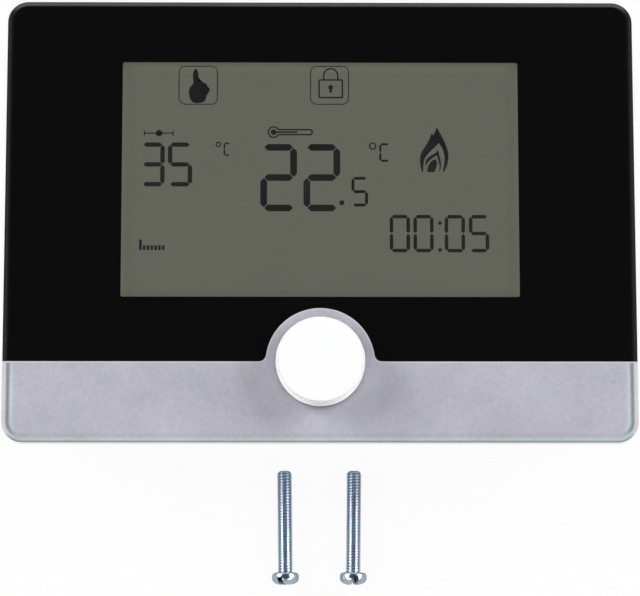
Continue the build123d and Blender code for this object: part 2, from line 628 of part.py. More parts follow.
def encoder_shaft():
    shaft = rod(ROTOR_RADIUS, ROTOR_BACK, ROTOR_FRONT, 0, DIAL_Y)
    shaft += rod(SHAFT_RADIUS, ROTOR_FRONT, SHAFT_TOP, 0, DIAL_Y)
    shaft -= flat_cut(SHAFT_RADIUS, DIAL_HUB_BOTTOM - SHAFT_END_GAP, SHAFT_TOP)
    socket = PIVOT_RADIUS + SHAFT_CLEARANCE
    return shaft - rod(socket, ROTOR_BACK, PLUNGER_FRONT + PIVOT_LENGTH + SHAFT_END_GAP, 0, DIAL_Y)


def knob():
    """The dial: a drafted cap on a low rim, with a hub bored to fit the D shaft, and ribs between."""
    rim = rod(DIAL_RADIUS, DIAL_BOTTOM, DIAL_RIM_TOP, 0, DIAL_Y)
    rim = fillet(rim.faces().sort_by(Axis.Z)[-1].edges(), DIAL_RIM_ROUND)
    foot = Pos(0, DIAL_Y, DIAL_RIM_TOP) * Circle(DIAL_RADIUS - DIAL_RIM_WIDTH)
    cap = extrude(foot, DIAL_TOP - DIAL_RIM_TOP, taper=DIAL_DRAFT)
    cap = rim + fillet(cap.faces().sort_by(Axis.Z)[-1].edges(), DIAL_EDGE_RADIUS)
    cap -= rod(DIAL_RADIUS - DIAL_WALL, DIAL_BOTTOM, DIAL_INSIDE, 0, DIAL_Y)
    hub = rod(DIAL_HUB_RADIUS, DIAL_HUB_BOTTOM, DIAL_INSIDE, 0, DIAL_Y)
    reach = DIAL_RADIUS - (DIAL_RIM_WIDTH + DIAL_WALL) / 2
    spoke = block(reach, DIAL_RIB_THICKNESS, DIAL_HUB_BOTTOM + PRESS_TRAVEL, DIAL_INSIDE, reach / 2, 0)
    for step in range(DIAL_RIB_COUNT):
        turned = Rot(0, 0, step * 360 / DIAL_RIB_COUNT) * spoke
        hub += Pos(0, DIAL_Y, 0) * turned
    fit = SHAFT_CLEARANCE / 2
    bore = rod(SHAFT_RADIUS + fit, DIAL_HUB_BOTTOM, DIAL_INSIDE, 0, DIAL_Y)
    flat = Pos(0, fit, 0) * flat_cut(SHAFT_RADIUS + fit, DIAL_HUB_BOTTOM, DIAL_INSIDE)
    return cap + (hub - (bore - flat))


def relay():
    bottom = BOARD_BACK - RELAY_HEIGHT
    case = block(RELAY_LENGTH, RELAY_WIDTH, bottom, BOARD_BACK, RELAY_X, RELAY_Y)
    return chamfer(case.faces().sort_by(Axis.Z)[0].edges(), RELAY_CHAMFER)


def microcontroller():
    """A flat package on the front of the board."""
    case = block(CHIP_SIZE, CHIP_SIZE, BOARD_FRONT, BOARD_FRONT + CHIP_HEIGHT, CHIP_X, CHIP_Y)
    return chamfer(case.faces().sort_by(Axis.Z)[-1].edges(), CHIP_CHAMFER)


def crystal():
    """A can that lies on the board beside the microcontroller."""
    x = CHIP_X + CHIP_SIZE / 2 + 2 * CRYSTAL_RADIUS
    can = Cylinder(CRYSTAL_RADIUS, CRYSTAL_LENGTH, rotation=(90, 0, 0))
    return Pos(x, CHIP_Y, BOARD_FRONT + CRYSTAL_RADIUS) * can


def capacitor():
    bottom = BOARD_BACK - CAPACITOR_HEIGHT
    can = rod(CAPACITOR_RADIUS, bottom, BOARD_BACK, CAPACITOR_X, CAPACITOR_Y)
    return chamfer(can.faces().sort_by(Axis.Z)[0].edges(), CAPACITOR_EDGE)


def ntc_sensor():
    """A bead on two leads at the board's lower edge, near the vents."""
    y = -BOARD_HEIGHT / 2 + 2 * SENSOR_RADIUS
    bead_z = BOARD_BACK - SENSOR_LEAD_LENGTH
    body = rod(SENSOR_RADIUS, bead_z - SENSOR_RADIUS, bead_z + SENSOR_RADIUS, SENSOR_X, y)
    for x in (SENSOR_X - SENSOR_LEAD_SPREAD, SENSOR_X + SENSOR_LEAD_SPREAD):
        body += rod(SENSOR_LEAD_RADIUS, bead_z, BOARD_BACK, x, y)
    return body


def pole_positions():
    middle = (POLE_COUNT - 1) / 2
    return [TERMINAL_X + (step - middle) * POLE_PITCH for step in range(POLE_COUNT)]


TERMINAL_BACK = BOARD_BACK - TERMINAL_HEIGHT
ENTRY_TOP = BOARD_BACK - TERMINAL_ENTRY_FLOOR
ENTRY_BOTTOM = ENTRY_TOP - TERMINAL_ENTRY_HEIGHT


def terminal_block():
    """The insulating body: a wire entry and a screw hole for each pole."""
    width = POLE_COUNT * POLE_PITCH
    body = block(width, TERMINAL_DEPTH, TERMINAL_BACK, BOARD_BACK, TERMINAL_X, TERMINAL_Y)
    edge = body.faces().sort_by(Axis.Z)[0].edges().filter_by(Axis.X).sort_by(Axis.Y)[-1]
    body = chamfer([edge], TERMINAL_EDGE)
    front = TERMINAL_Y - TERMINAL_DEPTH / 2
    middle = front + TERMINAL_ENTRY_DEPTH / 2
    for x in pole_positions():
        width = TERMINAL_ENTRY_WIDTH
        body -= block(width, TERMINAL_ENTRY_DEPTH, ENTRY_BOTTOM, ENTRY_TOP, x, middle)
        hole = TERMINAL_SCREW_RADIUS + TERMINAL_SCREW_CLEARANCE
        body -= rod(hole, TERMINAL_BACK, ENTRY_BOTTOM, x, TERMINAL_Y)
    return body


def terminal_screws():
    bottom = TERMINAL_BACK + TERMINAL_SCREW_SINK
    pieces = []
    for x in pole_positions():
        screw = rod(TERMINAL_SCREW_RADIUS, bottom, ENTRY_BOTTOM, x, TERMINAL_Y)
        slot_top = bottom + TERMINAL_SLOT_DEPTH
        screw -= block(2 * TERMINAL_SCREW_RADIUS, TERMINAL_SLOT_WIDTH, bottom, slot_top, x, TERMINAL_Y)
        pieces.append(screw)
    return solid_group(pieces)


def terminal_clamps():
    """A small metal cage in each wire entry, which the screw closes."""
    width = TERMINAL_ENTRY_WIDTH - 2 * CLAMP_CLEARANCE
    bottom = ENTRY_BOTTOM + CLAMP_CLEARANCE
    top = ENTRY_TOP - CLAMP_CLEARANCE
    depth = TERMINAL_DEPTH / 2
    pieces = []
    for x in pole_positions():
        cage = block(width, depth, bottom, top, x, TERMINAL_Y)
        cage -= block(width - 2 * CLAMP_WALL, depth, bottom + CLAMP_WALL, top - CLAMP_WALL, x, TERMINAL_Y)
        pieces.append(cage)
    return solid_group(pieces)


def cell_y(side):
    return BAY_Y + side * CELL_PITCH / 2


def cell(side):
    """One cylindrical cell along X, its plus end towards the given side."""
    can = Cylinder(CELL_RADIUS, CELL_LENGTH)
    ends = can.edges().filter_by(GeomType.CIRCLE)
    can = chamfer(ends, CELL_EDGE)
    nub_z = (CELL_LENGTH + CELL_NUB_LENGTH) / 2
    can += Pos(0, 0, nub_z) * Cylinder(CELL_NUB_RADIUS, CELL_NUB_LENGTH)
    shift = -side * CELL_NUB_LENGTH / 2
    return Pos(shift, cell_y(side), CELL_Z) * Rot(0, side * 90, 0) * can


def cells():
    return solid_group([cell(-1), cell(1)])


def contact(end, side):
    """A sheet contact at one end of one cell, bowed towards the cell."""
    wall_x = end * BAY_LENGTH / 2
    flat_x = wall_x - end * CONTACT_THICKNESS
    bow_x = flat_x - end * CONTACT_BOW
    half = CONTACT_SIZE / 2
    y = cell_y(side)
    back = [(wall_x, y - half), (wall_x, y + half)]
    front = [(flat_x, y + half), (bow_x, y), (flat_x, y - half)]
    outline = make_face(Polyline(*(back + front), close=True))
    return extrude(Pos(0, 0, CELL_Z - half) * outline, CONTACT_SIZE)


def cell_contacts():
    """One bridge that joins both cells in series, and a contact for each lead."""
    bridge_x = -(BAY_LENGTH - CONTACT_THICKNESS) / 2
    half = CONTACT_SIZE / 2
    bridge = contact(-1, -1) + contact(-1, 1)
    bridge += block(CONTACT_THICKNESS, CELL_PITCH, CELL_Z - half, CELL_Z + half, bridge_x, BAY_Y)
    return solid_group([bridge, contact(1, -1), contact(1, 1)])


def plain_screw(radius, length, head_radius, head_height):
    """A cheese-head screw that points up from a seat at z = 0."""
    return rod(head_radius, -head_height, 0) + rod(radius, 0, length)


def housing_screws():
    screw = plain_screw(
        HOUSING_SCREW_RADIUS,
        HOUSING_SCREW_LENGTH,
        HOUSING_SCREW_HEAD_RADIUS,
        HOUSING_SCREW_HEAD_HEIGHT,
    )
    screw = chamfer(screw.faces().sort_by(Axis.Z)[0].edges(), HOUSING_SCREW_HEAD_HEIGHT / 3)
    return solid_group([Pos(x, y, SEAT_Z) * screw for x, y in corners(SCREW_BOSS_X, SCREW_BOSS_Y)])


def board_screws():
    screw = plain_screw(
        BOARD_SCREW_RADIUS,
        BOARD_SCREW_LENGTH,
        BOARD_SCREW_HEAD_RADIUS,
        BOARD_SCREW_HEAD_HEIGHT,
    )
    turned = Rot(180, 0, 0) * screw
    return solid_group([Pos(x, y, BOARD_FRONT) * turned for x, y in corners(BOARD_SCREW_X, BOARD_SCREW_Y)])


def mounting_screw():
    """A machine screw along -Y from its tip at the origin, resting on its head and its tip."""
    head = Pos(0, 0, MOUNT_HEAD_HEIGHT / 2) * Cylinder(MOUNT_HEAD_RADIUS, MOUNT_HEAD_HEIGHT)
    head = chamfer(head.faces().sort_by(Axis.Z)[-1].edges(), MOUNT_HEAD_CHAMFER)
    recess_bottom = MOUNT_HEAD_HEIGHT - MOUNT_RECESS_DEPTH
    slot = block(2 * MOUNT_HEAD_RADIUS, MOUNT_RECESS_WIDTH, recess_bottom, MOUNT_HEAD_HEIGHT)
    cross = block(MOUNT_RECESS_WIDTH, MOUNT_RECESS_LENGTH, recess_bottom, MOUNT_HEAD_HEIGHT)
    head = head - slot - cross
    shank = rod(MOUNT_SCREW_RADIUS, -MOUNT_SCREW_LENGTH, 0)
    shank = chamfer(shank.faces().sort_by(Axis.Z)[0].edges(), MOUNT_SCREW_POINT)
    return head + shank


def mounting_screws():
    """The two loose screws that fix the wall plate, lying below it."""
    tip = MOUNT_SCREW_LENGTH - MOUNT_SCREW_POINT
    tilt = degrees(asin((MOUNT_HEAD_RADIUS - MOUNT_SCREW_RADIUS) / tip))
    seat_height = MOUNT_HEAD_RADIUS * cos(radians(tilt))
    seat_y = MOUNT_SCREW_TIP_Y - MOUNT_SCREW_LENGTH * cos(radians(tilt))
    pieces = []
    for side in (-1, 1):
        # the head's axis points down the wall (-Y), tipped so that head and point both touch z = 0
        lying = Rot(90 - tilt, 0, 0) * mounting_screw()
        splay = MOUNT_SCREW_LENGTH * sin(radians(MOUNT_SCREW_SPLAY))
        x = side * (MOUNT_SCREW_PITCH_X / 2 - splay / 2)
        spun = Rot(0, 0, -side * MOUNT_SCREW_SPLAY) * lying
        pieces.append(Pos(x, seat_y, seat_height) * spun)
    return solid_group(pieces)


NODES = (
    wall_plate,
    mounting_screws,
    rear_housing,
    front_housing,
    housing_screws,
    front_panel,
    black_print,
    silver_print,
    trim_line,
    panel_adhesive,
    lcd_glass,
    lcd_polarizer,
    lcd_holder,
    light_guide,
    backlight_leds,
    zebra_strip,
    main_board,
    board_screws,
    encoder_body,
    encoder_plunger,
    encoder_shaft,
    knob,
    relay,
    microcontroller,
    crystal,
    capacitor,
    ntc_sensor,
    terminal_block,
    terminal_screws,
    terminal_clamps,
    cells,
    cell_contacts,
)

os.makedirs("parts", exist_ok=True)
for make in NODES:
    export_step(make(), f"parts/{make.__name__}.step")
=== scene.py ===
"""Looks of a wall thermostat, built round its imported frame.

The unit lies on its back: X runs to its right, Y up its face and Z out of the wall, from z = 0.
Sizes are in millimetres in the classes below and become metres where a mesh is made.
"""

import logging
from dataclasses import dataclass
from enum import Enum
from typing import ClassVar

import bpy
import numpy as np
from mathutils import Matrix, Vector


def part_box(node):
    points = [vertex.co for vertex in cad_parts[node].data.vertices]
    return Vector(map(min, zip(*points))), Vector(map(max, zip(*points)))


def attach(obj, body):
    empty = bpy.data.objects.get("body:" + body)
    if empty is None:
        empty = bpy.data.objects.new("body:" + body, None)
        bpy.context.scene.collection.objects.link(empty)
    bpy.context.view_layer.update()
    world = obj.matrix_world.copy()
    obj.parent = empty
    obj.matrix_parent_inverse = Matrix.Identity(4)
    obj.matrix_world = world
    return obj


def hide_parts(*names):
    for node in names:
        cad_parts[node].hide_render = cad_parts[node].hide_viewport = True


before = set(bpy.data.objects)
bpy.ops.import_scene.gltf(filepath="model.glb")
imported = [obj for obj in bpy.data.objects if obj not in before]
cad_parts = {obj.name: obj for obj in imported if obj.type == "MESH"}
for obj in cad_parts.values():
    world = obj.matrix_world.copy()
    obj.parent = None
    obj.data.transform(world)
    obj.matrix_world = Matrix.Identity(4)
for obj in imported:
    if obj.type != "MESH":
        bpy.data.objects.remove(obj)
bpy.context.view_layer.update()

MM = 0.001
NOISE_LOW, NOISE_HIGH = 0.3, 0.7  # a noise texture seldom leaves these
RELIEF_DETAIL = 3.0  # octaves of the noise that a grain's relief takes
GLOSS_DRIFT = 0.12  # share by which roughness drifts either way
QUARTER = 12  # points to a quarter circle

Tree = bpy.types.NodeTree
Node = bpy.types.Node
Socket = bpy.types.NodeSocket
Colour = tuple[float, float, float, float]
Point = tuple[float, float]
Path = tuple[Point, ...]
Box = tuple[Point, Point]  # its lower left and its upper right corner
Disc = tuple[Point, float]  # its centre and its radius
Faces = list[list[int]]
Surface = tuple[np.ndarray, Faces]

log = logging.getLogger("thermostat")


# ---------------------------------------------------------------- nodes and colours


def linear(hex_colour: str) -> Colour:
    """Turns an sRGB hex colour into the linear colour that shaders take.

    Args:
        hex_colour: the colour as #RRGGBB.

    Returns:
        Red, green, blue and an alpha of one.
    """
    srgb = np.array([int(hex_colour[i : i + 2], 16) for i in (1, 3, 5)]) / 255.0
    rgb = np.where(srgb <= 0.04045, srgb / 12.92, ((srgb + 0.055) / 1.055) ** 2.4)
    return (*rgb.tolist(), 1.0)


def add_node(tree: Tree, kind: str, inputs: dict | None = None, **settings: object) -> Node:
    """Adds one node with its settings, its values and its links.

    Args:
        tree: the node tree of a material or of the world.
        kind: the node's type name without its ShaderNode prefix.
        inputs: for each input, by name or number, a value, another node's output, or another
            node, which stands for its first output.
        settings: the node's own properties.

    Returns:
        The new node.
    """
    node = tree.nodes.new("ShaderNode" + kind)
    for name, value in settings.items():
        setattr(node, name, value)
    for key, value in (inputs or {}).items():
        if isinstance(value, Node):
            value = value.outputs[0]
        if isinstance(value, Socket):
            tree.links.new(value, node.inputs[key])
        else:
            node.inputs[key].default_value = value
    return node


def fill_ramp(
    ramp: Node, stops: list[tuple[float, Colour]], interpolation: str = "LINEAR"
) -> Socket:
    """Gives a colour ramp its stops.

    Args:
        ramp: a colour ramp node.
        stops: position and linear colour of each stop, in rising order.
        interpolation: how colours run between stops.

    Returns:
        The ramp's colour output.
    """
    scale = ramp.color_ramp
    scale.interpolation = interpolation
    while len(scale.elements) < len(stops):
        scale.elements.new(1.0)
    for element, (position, colour) in zip(scale.elements, stops):
        element.position = position
        element.color = colour
    return ramp.outputs["Color"]


def outline_depth(
    tree: Tree, half: Point, centre: Point, radius: float, reach: float
) -> tuple[Node, Node]:
    """How far a point lies inside a rounded rectangle, and which edge it is nearer to.

    With q the point's distance from the centre along each axis less the half size and plus the
    radius, the depth is radius - |max(q, 0)| - min(max(qx, qy), 0).

    Args:
        tree: the material's node tree.
        half: half width and half height of the rectangle, mm.
        centre: its centre, mm.
        radius: its corner radius, mm.
        reach: the depth that counts as one, mm.

    Returns:
        The node that holds the depth as a share of the reach, and one that is 1 near the upper
        and lower edges and runs to 0 round each corner.
    """
    place = add_node(tree, "TexCoord").outputs["Object"]
    scaled = add_node(tree, "VectorMath", {0: place, "Scale": 1 / MM}, operation="SCALE")
    moved = add_node(tree, "VectorMath", {0: scaled, 1: (*centre, 0)}, operation="SUBTRACT")
    size = add_node(tree, "VectorMath", {0: moved}, operation="ABSOLUTE")
    no_limit = 1e3
    corner = (half[0] - radius, half[1] - radius, no_limit)
    q = add_node(tree, "VectorMath", {0: size, 1: corner}, operation="SUBTRACT")
    outer = add_node(tree, "VectorMath", {0: q, 1: (0, 0, 0)}, operation="MAXIMUM")
    length = add_node(tree, "VectorMath", {0: outer}, operation="LENGTH").outputs["Value"]
    q_x, q_y, _ = add_node(tree, "SeparateXYZ", {0: q}).outputs
    larger = add_node(tree, "Math", {0: q_x, 1: q_y}, operation="MAXIMUM")
    inner = add_node(tree, "Math", {0: larger, 1: 0.0}, operation="MINIMUM")
    both = add_node(tree, "Math", {0: length, 1: inner}, operation="ADD")
    depth = add_node(tree, "Math", {0: radius, 1: both}, operation="SUBTRACT")
    apart = add_node(tree, "Math", {0: q_y, 1: q_x}, operation="SUBTRACT")
    blend = 0.4 * radius
    turn = {0: apart, 1: -blend, 2: blend}
    ends = add_node(tree, "MapRange", turn, interpolation_type="SMOOTHSTEP")
    return add_node(tree, "Math", {0: depth, 1: reach}, operation="DIVIDE"), ends


# ---------------------------------------------------------------- finishes


@dataclass(frozen=True)
class Finish:
    """A surface: its name, colour and the plain numbers of its shader.

    Colour is sRGB hex. Grain and depth are the size and relief of its pattern, in millimetres.
    Mottle is how much the colour's value drifts, over the grain and over lumps of drift's size.
    """

    name: str
    colour: str
    roughness: float
    metallic: float = 0.0
    ior: float = 1.5
    grain: float = 0.4
    depth: float = 0.0
    mottle: float = 0.04
    drift: float = 12.0
    coat: float = 0.0
    stretch: tuple[float, float, float] = (1.0, 1.0, 1.0)

    def make(self) -> bpy.types.Material:
        """Builds the material, or gives back the one that already has this name.

        Returns:
            The material.
        """
        known = bpy.data.materials.get("mt_" + self.name)
        if known:
            return known
        material = bpy.data.materials.new("mt_" + self.name)
        material.use_nodes = True
        tree = material.node_tree
        tree.nodes.clear()
        values = {"Roughness": self.roughness, "Metallic": self.metallic, "IOR": self.ior}
        values |= {"Base Color": linear(self.colour), "Coat Weight": self.coat}
        shader = add_node(tree, "BsdfPrincipled", values)
        add_node(tree, "OutputMaterial", {"Surface": self.dress(tree, shader)})
        return material

    def noise(self, tree: Tree, size: float, detail: float = 2.0) -> Socket:
        """Noise on Object coordinates, stretched along the surface's lay where it has one.

        Args:
            tree: the material's node tree.
            size: how far its lumps are across, mm.
            detail: its octaves.

        Returns:
            The noise's value.
        """
        spot = add_node(tree, "TexCoord").outputs["Object"]
        place = add_node(tree, "Mapping", {"Vector": spot, "Scale": self.stretch})
        inputs = {"Vector": place, "Scale": 1 / (size * MM), "Detail": detail}
        return add_node(tree, "TexNoise", inputs).outputs["Fac"]

    def paint(
        self, tree: Tree, shader: Node, colour: Socket | Colour, height: Node | None = None
    ) -> Socket:
        """Gives the shader a colour whose value drifts a little, and the surface's relief.

        Args:
            tree: the material's node tree.
            shader: its Principled node.
            colour: the colour to paint.
            height: the relief's height, where that isn't the grain's own noise.

        Returns:
            The drifting colour.
        """
        slow, fine = self.noise(tree, self.drift), self.noise(tree, self.grain)
        both = add_node(tree, "Math", {0: slow, 1: fine}, operation="ADD")
        value = {0: both, 1: 2 * NOISE_LOW, 2: 2 * NOISE_HIGH}
        value |= {3: 1 - self.mottle, 4: 1 + self.mottle}
        gain = add_node(tree, "MapRange", value)
        painted = add_node(tree, "HueSaturation", {"Value": gain, "Color": colour}).outputs[0]
        tree.links.new(painted, shader.inputs["Base Color"])
        if self.depth:
            if height is None:
                height = self.noise(tree, self.grain, RELIEF_DETAIL)
            bump = add_node(tree, "Bump", {"Height": height, "Distance": self.depth * MM})
            tree.links.new(bump.outputs[0], shader.inputs["Normal"])
        return painted

    def dress(self, tree: Tree, shader: Node) -> Node:
        """Adds drift in colour and gloss, and the grain's relief.

        Args:
            tree: the material's node tree.
            shader: its Principled node.

        Returns:
            The shader for the surface.
        """
        self.paint(tree, shader, linear(self.colour))
        spread = {0: self.noise(tree, self.drift / 2), 1: NOISE_LOW, 2: NOISE_HIGH}
        spread |= {3: self.roughness * (1 - GLOSS_DRIFT), 4: self.roughness * (1 + GLOSS_DRIFT)}
        gloss = add_node(tree, "MapRange", spread)
        tree.links.new(gloss.outputs[0], shader.inputs["Roughness"])
        return shader


@dataclass(frozen=True)
class ClearSheet(Finish):
    """A clear sheet that mirrors by Fresnel's law and lets the rest straight through."""

    metallic: float = 1.0
    clarity: str = "#FFFFFF"

    def dress(self, tree: Tree, shader: Node) -> Node:
        """Mixes what passes with what the surface mirrors on its outer side.

        Args:
            tree: the material's node tree.
            shader: its Principled node, which is the mirror.

        Returns:
            The shader for the surface.
        """
        through = add_node(tree, "BsdfTransparent", {"Color": linear(self.clarity)})
        inside = add_node(tree, "NewGeometry").outputs["Backfacing"]
        outside = add_node(tree, "Math", {0: 1.0, 1: inside}, operation="SUBTRACT")
        fresnel = add_node(tree, "Fresnel", {"IOR": self.ior})
        share = add_node(tree, "Math", {0: fresnel, 1: outside}, operation="MULTIPLY")
        wave = {"Height": self.noise(tree, self.drift), "Distance": self.depth * MM}
        tree.links.new(add_node(tree, "Bump", wave).outputs[0], shader.inputs["Normal"])
        return add_node(tree, "MixShader", {0: share, 1: through, 2: shader})


@dataclass(frozen=True)
class PanelInk(Finish):
    """Screen print seen through the panel, with the bevelled edge's reflections and shade painted
    into it as lines round its outline.

    Sides and ends are (depth from the panel's edge in mm, colour) pairs of this painted reflection
    and shade, from the edge inwards, for the left and right edges and for the upper and lower ones.
    Cast is a second tint, in patches where a noise passes from one value of its range to the other.
    """

    sides: tuple[tuple[float, str], ...] = ()
    ends: tuple[tuple[float, str], ...] = ()
    half: Point = (60.0, 42.5)
    radius: float = 4.2
    reach: float = 4.0
    fade: float = 0.4
    cast: str = ""
    cast_range: Point = (0.45, 0.75)

    def painted_bevel_reflections(self, tree: Tree) -> Socket:
        """The ink's colour with the bevel's painted reflections and shade run round its outline.

        Args:
            tree: the material's node tree.

        Returns:
            The colour.
        """
        depth, near_end = outline_depth(tree, self.half, (0.0, 0.0), self.radius, self.reach)
        side, end = (
            fill_ramp(
                add_node(tree, "ValToRGB", {0: depth}),
                [
                    (at / self.reach, linear(tone))
                    for at, tone in (*lines, (lines[-1][0] + self.fade, self.colour))
                ],
            )
            for lines in (self.sides, self.ends)
        )
        mixed = {"Factor": near_end, "A": side, "B": end}
        return add_node(tree, "Mix", mixed, data_type="RGBA").outputs["Result"]

    def tinged(self, tree: Tree, colour: Socket | Colour) -> Socket:
        """The colour with the second tint multiplied in where its patches are.

        Args:
            tree: the material's node tree.
            colour: the colour so far.

        Returns:
            The colour.
        """
        low, high = self.cast_range
        patches = {0: self.noise(tree, self.drift / 3, RELIEF_DETAIL), 1: low, 2: high}
        share = add_node(tree, "MapRange", patches, interpolation_type="SMOOTHSTEP")
        tones = {"Factor": share, "A": (1, 1, 1, 1), "B": linear(self.cast)}
        tone = add_node(tree, "Mix", tones, data_type="RGBA").outputs["Result"]
        both = {"Factor": 1.0, "A": colour, "B": tone}
        product = add_node(tree, "Mix", both, data_type="RGBA", blend_type="MULTIPLY")
        return product.outputs["Result"]

    def dress(self, tree: Tree, shader: Node) -> Node:
        """Runs the bevel's painted reflections and shade round the outline, then the cast and the
        flake over all of it.

        Args:
            tree: the material's node tree.
            shader: its Principled node.

        Returns:
            The shader for the surface.
        """
        colour = self.painted_bevel_reflections(tree) if self.sides else linear(self.colour)
        self.paint(tree, shader, self.tinged(tree, colour) if self.cast else colour)
        return shader


@dataclass(frozen=True)
class FilmFinish(Finish):
    """Polarizing film over the display, lit from behind by a glow that is partly the backlight and
    partly painted light that keeps shadows on it faint, and lighter along its frame as painted
    light against the frame's shadow.
    """

    # painted light: lighter than the film, to offset the shadow that the frame casts along its edge
    painted_light_edge_colour: str = "#535449"
    # emission, partly the backlight and partly painted light that keeps shadows on the film faint
    glow: float = 1.0
    half: Point = (37.7, 23.2)
    centre: Point = (0.0, 7.3)
    radius: float = 0.4
    edge: float = 2.0

    def dress(self, tree: Tree, shader: Node) -> Node:
        """Runs from the lighter edge colour, painted light where the frame shades the film, to the
        film's own over the edge's width, and lets it glow, partly as painted light.

        Args:
            tree: the material's node tree.
            shader: its Principled node.

        Returns:
            The shader for the surface.
        """
        depth = outline_depth(tree, self.half, self.centre, self.radius, self.edge)[0]
        stops = [(0.0, linear(self.painted_light_edge_colour)), (1.0, linear(self.colour))]
        colour = fill_ramp(add_node(tree, "ValToRGB", {0: depth}), stops, "EASE")
        painted = self.paint(tree, shader, colour)
        tree.links.new(painted, shader.inputs["Emission Color"])
        shader.inputs["Emission Strength"].default_value = self.glow
        return shader


@dataclass(frozen=True)
class PlatedMetal(Finish):
    """Plated metal whose thin passivation turns the light to a second tint in patches.

    The patches begin and end at the two values of a noise that turn gives. Where the mesh has a
    groove attribute, of nought to one, painted shade darkens the plating by that share, in thread
    roots and recesses.
    """

    metallic: float = 1.0
    grain: float = 0.25
    depth: float = 0.004
    drift: float = 3.0
    tint_colour: str = "#FFFFFF"
    # painted shade: the colour that thread roots and recesses take where the groove attribute marks
    # them
    groove_shade_colour: str = "#202A38"
    turn: Point = (0.42, 0.6)

    def dress(self, tree: Tree, shader: Node) -> Node:
        """Mixes the two tints by noise, paints shade into thread roots and recesses, then adds fine
        lines as relief.

        Args:
            tree: the material's node tree.
            shader: its Principled node.

        Returns:
            The shader for the surface.
        """
        stops = list(zip(self.turn, (linear(self.colour), linear(self.tint_colour))))
        patches = add_node(tree, "ValToRGB", {0: self.noise(tree, self.drift)})
        # the groove attribute carries painted shade for thread roots and recesses
        groove = add_node(tree, "Attribute", attribute_name="groove").outputs["Fac"]
        tone = fill_ramp(patches, stops)
        mixed = {"Factor": groove, "A": tone, "B": linear(self.groove_shade_colour)}
        colour = add_node(tree, "Mix", mixed, data_type="RGBA").outputs["Result"]
        self.paint(tree, shader, colour)
        return shader


@dataclass(frozen=True)
class SolderResist(Finish):
    """Circuit board: glossy resist with copper tracks that stand a little proud under it."""

    track_colour: str = "#2F7A45"
    track: float = 1.6
    row: float = 0.25
    share: float = 0.55

    def dress(self, tree: Tree, shader: Node) -> Node:
        """Brick courses as high as a track: those above a share of the tones are copper.

        Args:
            tree: the material's node tree.
            shader: its Principled node.

        Returns:
            The shader for the surface.
        """
        runs = {
            "Vector": add_node(tree, "TexCoord").outputs["Object"],
            "Color1": (0, 0, 0, 1),
            "Color2": (1, 1, 1, 1),
            "Mortar": (0, 0, 0, 1),
            "Scale": self.row / (self.track * MM),
            "Mortar Size": 0.02,
            "Brick Width": 3.2,
            "Row Height": self.row,
        }
        tracks = add_node(tree, "TexBrick", runs, offset=0.37, squash=0.6, squash_frequency=3)
        value = add_node(tree, "RGBToBW", {0: tracks})
        there = add_node(tree, "Math", {0: value, 1: self.share}, operation="GREATER_THAN")
        stops = [(0.0, linear(self.colour)), (1.0, linear(self.track_colour))]
        colour = fill_ramp(add_node(tree, "ValToRGB", {0: there}), stops)
        self.paint(tree, shader, colour, there)
        return shader


@dataclass(frozen=True)
class CellJacket(Finish):
    """Printed film round a dry cell: a broad dark field and a copper-coloured band at one end.

    Band end and jacket end are distances along the cell from its middle, in mm.
    """

    band_colour: str = "#B87333"
    end_colour: str = "#B9BABA"
    band_end: float = 13.0
    jacket_end: float = 21.4
    hair: float = 0.001

    def dress(self, tree: Tree, shader: Node) -> Node:
        """Colours by the distance along the cell, from one end of the jacket to the other.

        Args:
            tree: the material's node tree.
            shader: its Principled node.

        Returns:
            The shader for the surface.
        """
        place = add_node(tree, "TexCoord").outputs["Object"]
        end = self.jacket_end * MM
        limits = {0: add_node(tree, "SeparateXYZ", {0: place}), 1: -end, 2: end}
        along = add_node(tree, "ValToRGB", {0: add_node(tree, "MapRange", limits)})
        stops = (
            (0.0, self.end_colour),
            (self.hair, self.colour),
            (0.5 + self.band_end / (2 * self.jacket_end), self.band_colour),
            (1 - self.hair, self.end_colour),
        )
        colour = fill_ramp(along, [(at, linear(tone)) for at, tone in stops], "CONSTANT")
        self.paint(tree, shader, colour)
        return shader


# Moulded ABS with a fine spark-eroded texture: soft, even, slightly broken highlights
ABS_WHITE = Finish("abs_spark_texture_white", "#E6E6E3", 0.52, grain=0.35, depth=0.02, mottle=0.015)
ABS_GREY = Finish("abs_spark_texture_grey", "#B6B8BC", 0.5, grain=0.35, depth=0.02, mottle=0.02)
# Moulded ABS from a polished mould: clean gloss over a faint waviness
ABS_GLOSS = Finish("abs_polished_white", "#FAFAFB", 0.2, grain=3.0, depth=0.001, mottle=0.004)
# Cast acrylic, polished edges: a sharp thin mirror over what lies behind
ACRYLIC = ClearSheet("acrylic_cast_clear", "#FFFFFF", 0.02, ior=1.49, depth=0.004, drift=30.0)
# Black screen ink behind acrylic: very dark and even, with no gloss of its own
INK_BLACK = PanelInk(
    "ink_screen_print_black",
    "#070708",
    0.5,
    ior=1.02,
    grain=0.5,
    mottle=0.12,
    # sides and ends: the bevel's reflections, painted into the ink along its edges
    sides=(
        (0.25, "#0E0E0F"), (0.6, "#1A1A1B"), (0.85, "#202021"), (1.05, "#1A1A1B"),
        (1.3, "#0B0B0C"),
    ),
    ends=(
        (0.3, "#484849"), (0.6, "#505051"), (0.8, "#5C5C5D"), (1.0, "#303031"),
        (1.15, "#0E0E0F"), (1.3, "#050505"),
    ),
)
